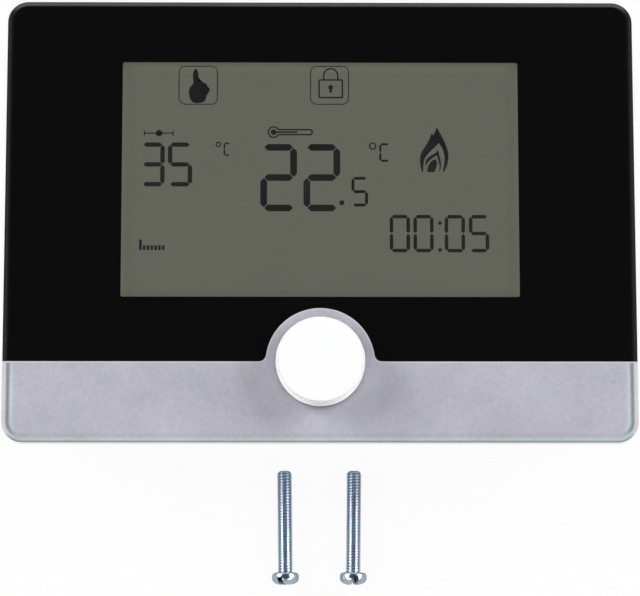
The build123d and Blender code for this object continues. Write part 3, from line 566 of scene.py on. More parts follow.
# Silver screen ink with aluminium flake behind acrylic: fine grey grain with a faint lilac cast
INK_SILVER = PanelInk(
    "ink_screen_print_silver",
    "#C2C0CB",
    0.5,
    ior=1.02,
    metallic=0.15,
    grain=0.6,
    mottle=0.11,
    depth=0.01,
    cast="#F7FDFB",
    # sides and ends: the bevel's reflections and shade, painted into the ink along its edges
    sides=(
        (0.75, "#D9D7DE"), (0.95, "#C9C8D1"), (1.12, "#A0A0A8"), (1.3, "#8E919C"),
        (1.5, "#989CA6"), (1.75, "#BCC5CC"), (1.95, "#CAD6DC"), (2.3, "#C6CBD4"),
    ),
    ends=(
        (0.42, "#95989D"), (0.6, "#AFB6BC"), (0.8, "#C6CED3"), (1.1, "#BDC6CB"),
        (1.45, "#B5BBC3"), (1.75, "#BBBAC6"),
    ),
)
# Bright silver line printed along the border: like the silver but with more flake
INK_BRIGHT = PanelInk("ink_screen_print_bright", "#D2D2D6", 0.4, metallic=0.1, mottle=0.03)
# Double-sided tape: matt black foam
TAPE = Finish("tape_acrylic_foam", "#1A1A1B", 0.85, grain=0.3, depth=0.03, mottle=0.1)
# Polarizing film: dull olive grey, half of it a glow that is partly the backlight and partly
# painted light, and half what it sends back; painted light lightens it along its frame
FILM = FilmFinish("polarizing_film_olive", "#45463E", 0.42, grain=1.2, mottle=0.012, drift=20.0)
# Switched liquid crystal: near-black with the film's own slight gloss
SEGMENT_DARK = Finish("liquid_crystal_dark", "#0B0C0B", 0.42, grain=0.6, mottle=0.05)
# Float glass panes, edges faintly green
GLASS = ClearSheet("glass_float_thin", "#FFFFFF", 0.02, ior=1.52, clarity="#E2EBE4", drift=25.0)
# Moulded polycarbonate with titanium white, dull
PC_WHITE = Finish("polycarbonate_white", "#EDEDE8", 0.45, grain=0.5, depth=0.01, mottle=0.015)
# Milky acrylic light guide
GUIDE = Finish("acrylic_light_guide", "#EFF3F4", 0.25, grain=0.8, depth=0.02, mottle=0.02)
# Light-emitting diode package with yellow phosphor
PHOSPHOR = Finish("led_phosphor", "#F1E7A8", 0.35, grain=0.3, mottle=0.06)
# Silicone connector strip: dull, with carbon layers that run across it
SILICONE = Finish(
    "silicone_carbon_layers", "#8B8882", 0.6, grain=0.18, mottle=0.3, stretch=(1.0, 0.05, 0.05)
)
# Glass-epoxy board under green solder resist, tracks proud of it
BOARD = SolderResist(
    "fr4_solder_resist_green", "#0F4A24", 0.28, coat=0.3, depth=0.035, mottle=0.06
)
# Steel with blue-white zinc: bright, with a blue cast and patches of violet; painted shade darkens
# it in thread roots and recesses
ZINC = PlatedMetal("steel_zinc_blue_white", "#DDF1FF", 0.2, tint_colour="#E0E6FA")
# Steel with black zinc: dark satin
ZINC_BLACK = PlatedMetal(
    "steel_zinc_black", "#26272A", 0.38, depth=0.005, tint_colour="#303034"
)
# Tinned sheet steel: pale, slightly satin
TINNED = PlatedMetal(
    "steel_tinned", "#C8C8C6", 0.3, grain=0.3, depth=0.006, drift=4.0, tint_colour="#D4D2CC"
)
# Turned aluminium: lines round the axis show as fine drift
TURNED = PlatedMetal(
    "aluminium_turned", "#D2D3D5", 0.26, grain=0.2, drift=4.0, tint_colour="#DDDDDC"
)
# Nickel-plated brass: warm under the plating
BRASS = PlatedMetal("brass_nickel_plated", "#CDBB86", 0.28, tint_colour="#D8CDA6")
# Nickel-plated spring steel: bright and hard
NICKEL = PlatedMetal(
    "steel_nickel_plated", "#CFCCC4", 0.18, grain=0.3, drift=5.0, tint_colour="#DAD8D2"
)
# Acetal: waxy off-white
ACETAL = Finish("acetal_moulded", "#DEDDD6", 0.38, grain=0.5, depth=0.008, mottle=0.02)
# Relay case: moulded polyester in blue, dull gloss
RELAY_BLUE = Finish("polyester_blue", "#1D4C9C", 0.34, grain=0.5, depth=0.012, mottle=0.03)
# Epoxy moulding compound of a chip: matt, dark, finely pitted
MOULDING = Finish("epoxy_moulding_compound", "#232325", 0.62, grain=0.2, depth=0.02, mottle=0.1)
# Epoxy that the sensor's bead was dipped in: glossy black, a little uneven
EPOXY = Finish("epoxy_dipped_black", "#17171A", 0.22, grain=0.6, depth=0.02, mottle=0.06)
# Polyamide of the terminal block: green, slightly satin
POLYAMIDE = Finish("polyamide_green", "#2A8C4A", 0.42, depth=0.015, mottle=0.03)
# Printed shrink film over a steel can
JACKET = CellJacket("shrink_film_printed", "#1B1C1F", 0.22, grain=0.5, mottle=0.03)


# ---------------------------------------------------------------- meshes


def build_piece(
    name: str,
    surfaces: list[Surface],
    finish: Finish,
    body: str,
    crease: float = 35.0,
    groove_shades: np.ndarray | None = None,
) -> bpy.types.Object:
    """Joins surfaces to one piece in metres, smooth up to the crease angle, riding on its body.

    Args:
        name: the piece's name.
        surfaces: its surfaces, each as points in millimetres and faces that number them.
        finish: its finish.
        body: the body that carries it.
        crease: angle in degrees past which an edge stays sharp.
        groove_shades: how much painted shade each point takes in thread roots and recesses, from
            nought to one; none without.

    Returns:
        The new object.
    """
    points = np.concatenate([own for own, _ in surfaces]) * MM
    starts = np.cumsum([0] + [len(own) for own, _ in surfaces]).tolist()
    faces = [
        [corner + start for corner in face]
        for (_, own), start in zip(surfaces, starts)
        for face in own
    ]
    mesh = bpy.data.meshes.new(name)
    mesh.from_pydata(points.tolist(), [], faces)
    # painted shade for thread roots and recesses, stored as the groove attribute
    depths = np.zeros(len(points)) if groove_shades is None else groove_shades
    mesh.attributes.new("groove", "FLOAT", "POINT").data.foreach_set("value", depths)
    mesh.validate()
    mesh.polygons.foreach_set("use_smooth", np.ones(len(mesh.polygons), bool))
    mesh.set_sharp_from_angle(angle=np.radians(crease))
    mesh.materials.append(finish.make())
    piece = bpy.data.objects.new(name, mesh)
    bpy.context.scene.collection.objects.link(piece)
    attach(piece, body)
    log.info("built %s", name)
    return piece


def grid_faces(rows: int, columns: int, closed: bool = True) -> Faces:
    """Quads between neighbouring rows of a grid of points.

    Args:
        rows: number of rows.
        columns: number of columns, the faster index.
        closed: whether the last column joins the first.

    Returns:
        The faces.
    """
    runs = np.arange(columns if closed else columns - 1)
    row, column = np.meshgrid(np.arange(rows - 1) * columns, runs, indexing="ij")
    beside = (column + 1) % columns
    above = row + columns
    quads = np.stack([row + column, row + beside, above + beside, above + column], -1)
    return quads.reshape(-1, 4).tolist()


def prism(outline: np.ndarray, low: float, high: float) -> Surface:
    """A flat outline carried straight up: ring nought is the outline at low, ring one at high.

    Args:
        outline: N x 2 points of a closed outline, either way round.
        low: height of its lower face, mm.
        high: height of its upper face, mm.

    Returns:
        The points and the faces, ends closed.
    """
    x, y = outline.T
    if np.sum(x * np.roll(y, -1) - np.roll(x, -1) * y) < 0:
        outline = outline[::-1]
    count = len(outline)
    levels = np.repeat([low, high], count)[:, None]
    points = np.concatenate([np.tile(outline, (2, 1)), levels], 1)
    ends = [list(range(count))[::-1], list(range(count, 2 * count))]
    return points, grid_faces(2, count) + ends


def band(
    left: np.ndarray, right: np.ndarray, low: float, high: float, closed: bool = False
) -> Surface:
    """The flat strip between two matched paths, carried straight up.

    Each station is a ring of four points: left low, right low, right high and left high.

    Args:
        left: N x 2 points of the path on the left.
        right: as many points of the path on the right.
        low: height of the lower face, mm.
        high: height of the upper face, mm.
        closed: whether the paths return to their start.

    Returns:
        The points and the faces, ends closed.
    """
    corners = ((left, low), (right, low), (right, high), (left, high))
    section = [np.insert(path, 2, level, axis=1) for path, level in corners]
    points = np.stack(section, 1).reshape(-1, 3)
    if closed:
        faces = (np.array(grid_faces(len(left) + 1, 4)) % len(points)).tolist()
    else:
        last = 4 * (len(left) - 1)
        faces = grid_faces(len(left), 4) + [[3, 2, 1, 0], [last, last + 1, last + 2, last + 3]]
    return points, faces


def bar(path: np.ndarray, width: float, low: float, high: float, closed: bool = False) -> Surface:
    """A rectangular section carried along a flat path, mitred at its corners.

    At each point the section stands across the mean direction of the two runs that meet there,
    widened by one over the cosine of half the turn so that its width stays the same.

    Args:
        path: N x 2 points.
        width: width of the bar, mm.
        low: height of its lower face, mm.
        high: height of its upper face, mm.
        closed: whether the path returns to its start.

    Returns:
        The points and the faces, ends closed.
    """
    runs = np.diff(path, axis=0, append=path[:1])
    runs /= np.linalg.norm(runs, axis=1, keepdims=True)
    before, after = np.roll(runs, 1, axis=0), runs.copy()
    if not closed:
        before[0], after[-1] = runs[0], runs[-2]
    mean = before + after
    mean /= np.linalg.norm(mean, axis=1, keepdims=True)
    across = np.stack([-mean[:, 1], mean[:, 0]], 1) / np.sum(mean * after, 1, keepdims=True)
    return band(path + across * width / 2, path - across * width / 2, low, high, closed)


def arc(centre: Point, radius: float, start: float, end: float, count: int) -> np.ndarray:
    """Points round a circle from start to end, in degrees: centre + radius (cos a, sin a)."""
    angle = np.radians(np.linspace(start, end, count))
    return np.asarray(centre) + radius * np.stack([np.cos(angle), np.sin(angle)], 1)


def circle(centre: Point, radius: float, count: int = 24) -> np.ndarray:
    """Points evenly round a full circle."""
    return arc(centre, radius, 0, 360 - 360 / count, count)


def rounded_box(low: Point, high: Point, radius: float) -> np.ndarray:
    """The outline of a rounded rectangle: a quarter circle about each corner's centre in turn.

    Args:
        low: its lower left corner.
        high: its upper right corner.
        radius: its corner radius.

    Returns:
        Its points.
    """
    (left, bottom), (right, top) = np.add(low, radius), np.subtract(high, radius)
    centres = ((right, top), (left, top), (left, bottom), (right, bottom))
    quarters = [arc(at, radius, 90 * i, 90 * (i + 1), QUARTER) for i, at in enumerate(centres)]
    return np.concatenate(quarters)


def curved(points: Path, closed: bool = True) -> np.ndarray:
    """A smooth path through points: each run is the cubic with its neighbours' slope.

    Between b and c, with a before and d after, the run, in six steps of t, is
    0.5 (2b + (c - a) t + (2a - 5b + 4c - d) t^2 + (3b - a - 3c + d) t^3).

    Args:
        points: the points, in order. One given twice is a corner.
        closed: whether the path returns to its start.

    Returns:
        The path's points.
    """
    steps, least = 6, 1e-3
    b = np.asarray(points, float)
    around = np.concatenate([b[-1:] if closed else b[:1], b, b[:2] if closed else b[[-1, -1]]])
    a, b, c, d = (around[i : len(around) - 3 + i, None, :] for i in range(4))
    t = np.linspace(0, 1, steps, endpoint=False)[None, :, None]
    bend = (2 * a - 5 * b + 4 * c - d) * t**2 + (3 * b - a - 3 * c + d) * t**3
    path = (0.5 * (2 * b + (c - a) * t + bend)).reshape(-1, 2)
    if not closed:
        path = path[: 1 - steps]
    return path[np.linalg.norm(path - np.roll(path, 1, 0), axis=1) > least]


def spaced(path: np.ndarray, count: int) -> np.ndarray:
    """Points along a path, evenly by the distance run along it.

    Args:
        path: N x 2 points.
        count: how many points to give.

    Returns:
        The points.
    """
    run = np.concatenate([[0], np.cumsum(np.linalg.norm(np.diff(path, axis=0), axis=1))])
    at = np.linspace(0, run[-1], count)
    return np.stack([np.interp(at, run, path[:, 0]), np.interp(at, run, path[:, 1])], 1)


# ---------------------------------------------------------------- sub-assemblies


@dataclass
class SubAssembly:
    """Nodes of the frame that belong together, each with the finish that it wears."""

    finishes: ClassVar[dict[str, Finish]]

    def make(self) -> None:
        """Gives each node its finish, as the only material of its mesh."""
        for name, finish in self.finishes.items():
            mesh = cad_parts[name].data
            mesh.materials.clear()
            mesh.materials.append(finish.make())
            log.info("dressed %s in %s", name, finish.name)


class Bars(Enum):
    """The seven bars of a digit: two ends of each, as (column, row) of a 2 x 3 net."""

    TOP = ((0, 2), (1, 2))
    UPPER_RIGHT = ((1, 2), (1, 1))
    LOWER_RIGHT = ((1, 1), (1, 0))
    BASE = ((0, 0), (1, 0))
    LOWER_LEFT = ((0, 1), (0, 0))
    UPPER_LEFT = ((0, 2), (0, 1))
    MIDDLE = ((0, 1), (1, 1))


LIT = {
    "0": tuple(lit for lit in Bars if lit is not Bars.MIDDLE),
    "2": (Bars.TOP, Bars.UPPER_RIGHT, Bars.MIDDLE, Bars.LOWER_LEFT, Bars.BASE),
    "3": (Bars.TOP, Bars.UPPER_RIGHT, Bars.MIDDLE, Bars.LOWER_RIGHT, Bars.BASE),
    "5": (Bars.TOP, Bars.UPPER_LEFT, Bars.MIDDLE, Bars.LOWER_RIGHT, Bars.BASE),
    "C": (Bars.TOP, Bars.UPPER_LEFT, Bars.LOWER_LEFT, Bars.BASE),
}


@dataclass(frozen=True)
class Numeral:
    """A row of seven-bar digits: each one's left and right column, and the rows they share."""

    digits: str
    columns: tuple[Point, ...]
    rows: tuple[float, float, float]
    stroke: float
    gap: float = 0.08

    def outlines(self) -> list[np.ndarray]:
        """Six-sided bars between the net's points, pointed at both ends.

        A bar from p to q, with d its direction, n across it, g the gap and h half the stroke, has
        its tips at p + g d and q - g d, and its shoulders h along and h across from each tip.

        Returns:
            The outline of each bar.
        """
        made = []
        half = self.stroke / 2
        for digit, column in zip(self.digits, self.columns):
            for lit in LIT[digit]:
                p, q = (np.array([column[at[0]], self.rows[at[1]]]) for at in lit.value)
                along = (q - p) / np.linalg.norm(q - p)
                across = np.array([-along[1], along[0]])
                p, q = p + self.gap * along, q - self.gap * along
                rise, fall = half * (along + across), half * (along - across)
                made.append(np.array([p, p + rise, q - fall, q, q - rise, p + fall]))
        return made


@dataclass(frozen=True)
class Temperature:
    """A temperature on the display: its digits, its degree ring and its decimal point.

    The ring is its centre, radius and stroke; the point is its centre and radius.
    """

    name: str
    numerals: tuple[Numeral, ...]
    ring: tuple[Point, float, float]
    point: Disc | None = None


@dataclass
class Pictograms:
    """The freehand outlines on the display: the hand, and the flame of two tongues and a core.

    Each half of a tongue is an outer and an inner path, from its foot to its tip or back.
    """

    hand: Path = (
        (-24.09, 22.87), (-24.73, 23.35), (-25.1, 24.65), (-25.0, 25.63), (-24.5, 26.35),
        (-24.26, 26.83), (-24.34, 27.92), (-24.3, 28.8), (-23.86, 29.49), (-23.4, 28.8),
        (-23.33, 27.93), (-23.38, 27.01), (-23.38, 27.01), (-22.84, 27.27), (-22.37, 26.71),
        (-22.37, 26.71), (-21.85, 26.64), (-21.59, 26.05), (-21.59, 26.05), (-21.17, 25.64),
        (-21.25, 24.99), (-21.65, 24.4), (-21.86, 23.68), (-22.28, 23.03), (-23.24, 22.83),
    )
    rising: tuple[tuple[Path, Path], ...] = (
        (
            (
                (19.38, 9.51), (19.14, 10.64), (19.04, 11.72), (19.15, 12.8), (19.56, 13.67),
                (20.21, 14.64), (20.8, 15.73), (21.12, 16.59), (21.18, 16.98), (21.18, 16.98),
                (21.6, 16.57), (21.6, 16.57), (21.98, 17.35), (22.23, 18.24),
            ),
            (
                (19.62, 9.47), (19.63, 10.32), (19.71, 11.18), (19.87, 11.94), (20.25, 12.59),
                (20.84, 13.29), (21.48, 13.94), (22.12, 14.54), (22.57, 15.13),
            ),
        ),
        (
            (
                (20.06, 10.7), (20.1, 11.4), (20.4, 12.05), (21.15, 12.64), (22.01, 13.18),
                (22.49, 13.75),
            ),
            ((20.2, 10.7), (20.51, 11.34), (21.26, 12.05), (22.27, 12.72)),
        ),
    )
    falling: tuple[tuple[Path, Path], ...] = (
        (
            (
                (22.23, 18.24), (22.67, 17.36), (23.25, 16.27), (23.83, 15.08), (24.25, 13.89),
                (24.43, 12.81), (24.36, 11.73), (24.17, 10.86), (23.85, 10.0), (23.63, 9.55),
            ),
            (
                (22.57, 15.13), (23.03, 14.54), (23.42, 13.78), (23.65, 12.92), (23.76, 12.05),
                (23.67, 11.08), (23.53, 10.21), (23.33, 9.62),
            ),
        ),
        (
            (
                (22.49, 13.75), (22.64, 13.02), (22.87, 12.05), (23.03, 11.08), (22.97, 10.21),
                (22.75, 9.62),
            ),
            ((22.27, 12.72), (22.45, 12.05), (22.72, 11.08), (22.78, 10.32), (22.64, 9.62)),
        ),
    )
    core: Path = (
        (20.37, 9.51), (20.37, 9.51), (20.5, 10.1), (20.72, 10.86), (21.25, 11.56), (21.98, 11.94),
        (21.98, 11.94), (22.21, 11.51), (22.26, 11.08), (22.09, 10.32), (21.72, 9.51),
        (21.72, 9.51),
    )
    stations: int = 40

    def tongues(self) -> list[np.ndarray]:
        """The outer and the inner path of each tongue, up one half and down the other.

        Returns:
            The two paths of the first tongue, then those of the second, as many points each.
        """
        made = []
        for rising, falling in zip(self.rising, self.falling):
            for halves in zip(rising, falling):
                up, down = (spaced(curved(half, False), self.stations) for half in halves)
                made.append(np.concatenate([up, down[1:]]))
        return made


@dataclass
class Display(SubAssembly):
    """The liquid crystal display: film, glass, light guide, and the dark figures on the film."""

    finishes: ClassVar[dict[str, Finish]] = {
        "lcd_polarizer": FILM,
        "lcd_glass": GLASS,
        "lcd_holder": PC_WHITE,
        "light_guide": GUIDE,
        "backlight_leds": PHOSPHOR,
        "zebra_strip": SILICONE,
    }
    face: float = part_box("lcd_polarizer")[1].z / MM
    rise: float = 0.03
    temperatures: tuple[Temperature, ...] = (
        Temperature(
            "figures_set",
            (
                Numeral("35", ((-33.74, -30.05), (-28.61, -24.81)), (7.03, 10.86, 14.69), 0.83),
                Numeral("C", ((-18.27, -17.24),), (12.67, 13.82, 14.97), 0.3, 0.05),
            ),
            ((-19.44, 14.75), 0.42, 0.2),
        ),
        Temperature(
            "figures_room",
            (
                Numeral("22", ((-10.76, -5.07), (-2.55, 3.16)), (2.48, 8.36, 14.2), 1.27, 0.12),
                Numeral("5", ((6.23, 8.82),), (3.06, 5.65, 8.23), 0.55),
                Numeral("C", ((11.47, 13.06),), (11.63, 13.22, 14.82), 0.4, 0.05),
            ),
            ((10.02, 14.47), 0.59, 0.25),
            ((4.12, 3.51), 0.48),
        ),
    )
    clock: Numeral = Numeral(
        "0005",
        ((13.53, 16.72), (18.05, 21.2), (23.98, 27.17), (28.6, 31.76)),
        (-5.68, -2.4, 0.83),
        0.66,
    )
    colon: Path = ((22.74, -0.4), (22.74, -5.56))
    colon_radius: float = 0.45
    slider: Path = ((-33.54, 16.92), (-28.05, 16.92))
    slider_stroke: float = 0.2
    slider_stop: float = 0.5
    slider_knob: Disc = ((-30.75, 16.92), 0.62)
    bulb: Point = (-8.89, 17.15)
    bulb_radii: Point = (0.55, 1.02)
    bulb_neck: float = 28.0
    tube_end: Disc = ((-2.0, 17.15), 0.48)
    tube_stroke: float = 0.25
    column: Path = ((-8.6, 17.15), (-4.4, 17.15))
    column_stroke: float = 0.3
    days: int = 7
    day_corner: Point = (-34.34, -5.64)
    day_pitch: float = 0.72
    day_width: float = 0.48
    day_heights: Point = (2.0, 0.9)
    day_radius: float = 0.1
    frame_radius: float = 1.2
    frame_stroke: float = 0.15
    hand_frame: Box = ((-27.0, 22.56), (-19.66, 29.99))
    lock_frame: Box = ((-1.84, 22.6), (5.42, 30.01))
    lock_case: Box = ((-0.21, 23.9), (4.24, 27.35))
    lock_case_radius: float = 0.2
    lock_stroke: float = 0.26
    shackle: Disc = ((2.01, 28.19), 1.36)
    shackle_foot: float = 27.4
    keyhole: Disc = ((2.01, 25.9), 0.45)
    keyhole_foot: Point = (0.24, 24.9)

    def piece(self, name: str, surfaces: list[Surface]) -> None:
        """Makes one group of dark figures on the film."""
        build_piece(name, surfaces, SEGMENT_DARK, "unit")

    def flat(self, outline: np.ndarray) -> Surface:
        """One filled figure, from the film's face up by the rise."""
        return prism(outline, self.face, self.face + self.rise)

    def line(self, path: np.ndarray, width: float, closed: bool = False) -> Surface:
        """One line figure, from the film's face up by the rise."""
        return bar(path, width, self.face, self.face + self.rise, closed)

    def boxed(self, box: Box) -> Surface:
        """The thin frame round a pictogram."""
        return self.line(rounded_box(*box, self.frame_radius), self.frame_stroke, closed=True)

    def figures(self) -> None:
        """Builds the two temperatures with their degree marks, and the clock."""
        for shown in self.temperatures:
            outlines = [outline for numeral in shown.numerals for outline in numeral.outlines()]
            centre, radius, stroke = shown.ring
            surfaces = [self.flat(outline) for outline in outlines]
            surfaces.append(self.line(circle(centre, radius), stroke, closed=True))
            if shown.point:
                surfaces.append(self.flat(circle(*shown.point)))
            self.piece(shown.name, surfaces)
        dots = [circle(centre, self.colon_radius, 4) for centre in self.colon]
        self.piece("figures_clock", [self.flat(each) for each in self.clock.outlines() + dots])

    def marks(self) -> None:
        """Builds the plain marks over the two temperatures and the row of weekday blocks."""
        stops = [(x, y + np.array([-1, 1]) * self.slider_stop) for x, y in self.slider]
        paths = [np.array(self.slider)]
        paths += [np.stack([np.full(2, x), y], 1) for x, y in stops]
        slider = [self.line(path, self.slider_stroke) for path in paths]
        self.piece("mark_setpoint", slider + [self.flat(circle(*self.slider_knob))])
        inner, outer = self.bulb_radii
        bulb = arc(self.bulb, outer, self.bulb_neck, 360 - self.bulb_neck, 30)
        glass = np.concatenate([bulb, arc(*self.tube_end, -90, 90, QUARTER)])
        thermometer = [
            self.line(glass, self.tube_stroke, closed=True),
            self.flat(circle(self.bulb, inner)),
            self.line(np.array(self.column), self.column_stroke),
        ]
        self.piece("mark_thermometer", thermometer)
        blocks = []
        for day in range(self.days):
            low = np.add(self.day_corner, (self.day_pitch * day, 0))
            size = self.day_width, self.day_heights[min(day, 1)]
            blocks.append(self.flat(rounded_box(low, low + size, self.day_radius)))
        self.piece("mark_weekday", blocks)

    def padlock(self) -> list[Surface]:
        """The padlock: the outline of its case, its shackle and its keyhole.

        Returns:
            Its surfaces.
        """
        case = rounded_box(*self.lock_case, self.lock_case_radius)
        (x, _), reach = self.shackle
        foot = self.shackle_foot
        bow = [[(x - reach, foot)], arc(*self.shackle, 180, 0, 20), [(x + reach, foot)]]
        (x, _), (reach, foot) = self.keyhole[0], self.keyhole_foot
        hole = [arc(*self.keyhole, -60, 240, 20), [(x - reach, foot), (x + reach, foot)]]
        return [
            self.line(case, self.lock_stroke, closed=True),
            self.line(np.concatenate(bow), self.lock_stroke),
            self.flat(np.concatenate(hole)),
        ]

    def make(self) -> None:
        """Dresses the stack and builds everything that shows on the film."""
        super().make()
        self.figures()
        self.marks()
        pictures = Pictograms()
        hand = [self.boxed(self.hand_frame), self.flat(curved(pictures.hand))]
        self.piece("pictogram_hand", hand)
        self.piece("pictogram_padlock", [self.boxed(self.lock_frame)] + self.padlock())
        paths = pictures.tongues()
        flame = [
            band(inner, outer, self.face, self.face + self.rise)
            for outer, inner in zip(paths[::2], paths[1::2])
        ]
        self.piece("pictogram_flame", flame + [self.flat(curved(pictures.core))])


@dataclass
class Front(SubAssembly):
    """The clear panel with its printed back, and the tape that holds it.

    The hole is drawn close round the knob, and the print runs up to it as a lip inside the
    node's. The panel's back stands the ink's gap in front of the prints, so that no two faces
    coincide.
    """

    finishes: ClassVar[dict[str, Finish]] = {
        "black_print": INK_BLACK,
        "silver_print": INK_SILVER,
        "trim_line": INK_BRIGHT,
        "panel_adhesive": TAPE,
    }
    half: Point = (60.0, 42.5)
    radius: float = 4.2
    bevel: Point = (1.1, 0.8)
    hole: Point = (0.0, -27.15)
    hole_radius: float = 8.45
    hole_break: float = 0.12
    print_hole: float = 8.7
    face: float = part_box("front_panel")[1].z / MM
    ink: float = 0.03
    thickness: float = 2.0
    stations: int = 72
    crease: float = 30.0

    def outline(self, inset: float) -> np.ndarray:
        """The panel's outline drawn in by inset, with points along its four straight runs.

        Every inset keeps the corners' centres, so the points of any two outlines match.

        Args:
            inset: how far inside the panel's edge, mm.

        Returns:
            Its points.
        """
        x, y = self.half[0] - inset, self.half[1] - inset
        quarters = rounded_box((-x, -y), (x, y), self.radius - inset).reshape(4, -1, 2)
        share = np.linspace(0, 1, self.stations)[1:-1, None]
        runs = [
            here[-1] + share * (there[0] - here[-1])
            for here, there in zip(quarters, np.roll(quarters, -1, 0))
        ]
        return np.concatenate([part for pair in zip(quarters, runs) for part in pair])

    def round_hole(self, radius: float) -> np.ndarray:
        """A circle about the hole at the outline points' angles: c + r (p - c) / |p - c|."""
        away = self.outline(0.0) - self.hole
        return self.hole + radius * away / np.linalg.norm(away, axis=1, keepdims=True)

    def panel(self) -> Surface:
        """The clear sheet as closed rings: hole, back, edge, bevel, face and back to the hole.

        Returns:
            The points and the faces.
        """
        back = self.face - self.thickness + self.ink
        rings = (
            (self.round_hole(self.hole_radius), back),
            (self.outline(0.0), back),
            (self.outline(0.0), self.face - self.bevel[1]),
            (self.outline(self.bevel[0]), self.face),
            (self.round_hole(self.hole_radius + self.hole_break), self.face),
            (self.round_hole(self.hole_radius), self.face - self.hole_break),
        )
        points = np.concatenate([np.insert(ring, 2, level, axis=1) for ring, level in rings])
        faces = np.array(grid_faces(len(rings) + 1, len(rings[0][0]))) % len(points)
        return points, faces.tolist()

    def make(self) -> None:
        """Dresses the prints and the tape, and builds the panel and the lip over them."""
        super().make()
        sheet = [self.panel()]
        piece = build_piece("panel_clear", sheet, ACRYLIC, "unit", self.crease)
        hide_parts("front_panel")
        low, high = (corner.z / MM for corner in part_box("silver_print"))
        inner, outer = self.round_hole(self.hole_radius), self.round_hole(self.print_hole)
        lip = [band(inner, outer, low, high, closed=True)]
        build_piece("print_lip", lip, INK_SILVER, "unit")


@dataclass
class Dial(SubAssembly):
    """The white knob and the push encoder under it."""

    finishes: ClassVar[dict[str, Finish]] = {
        "knob": ABS_GLOSS,
        "encoder_shaft": TURNED,
        "encoder_plunger": ACETAL,
        "encoder_body": TINNED,
    }


@dataclass
class Case(SubAssembly):
    """The wall plate and the two halves of the housing with their screws."""

    finishes: ClassVar[dict[str, Finish]] = {
        "wall_plate": ABS_WHITE,
        "rear_housing": ABS_GREY,
        "front_housing": ABS_GREY,
        "housing_screws": ZINC_BLACK,
    }


@dataclass
class Electronics(SubAssembly):
    """The circuit board, what it carries, the terminals and the cells."""

    finishes: ClassVar[dict[str, Finish]] = {
        "main_board": BOARD,
        "board_screws": ZINC,
        "relay": RELAY_BLUE,
        "microcontroller": MOULDING,
        "crystal": NICKEL,
        "capacitor": TURNED,
        "ntc_sensor": EPOXY,
        "terminal_block": POLYAMIDE,
        "terminal_screws": BRASS,
        "terminal_clamps": BRASS,
        "cells": JACKET,
        "cell_contacts": NICKEL,
    }


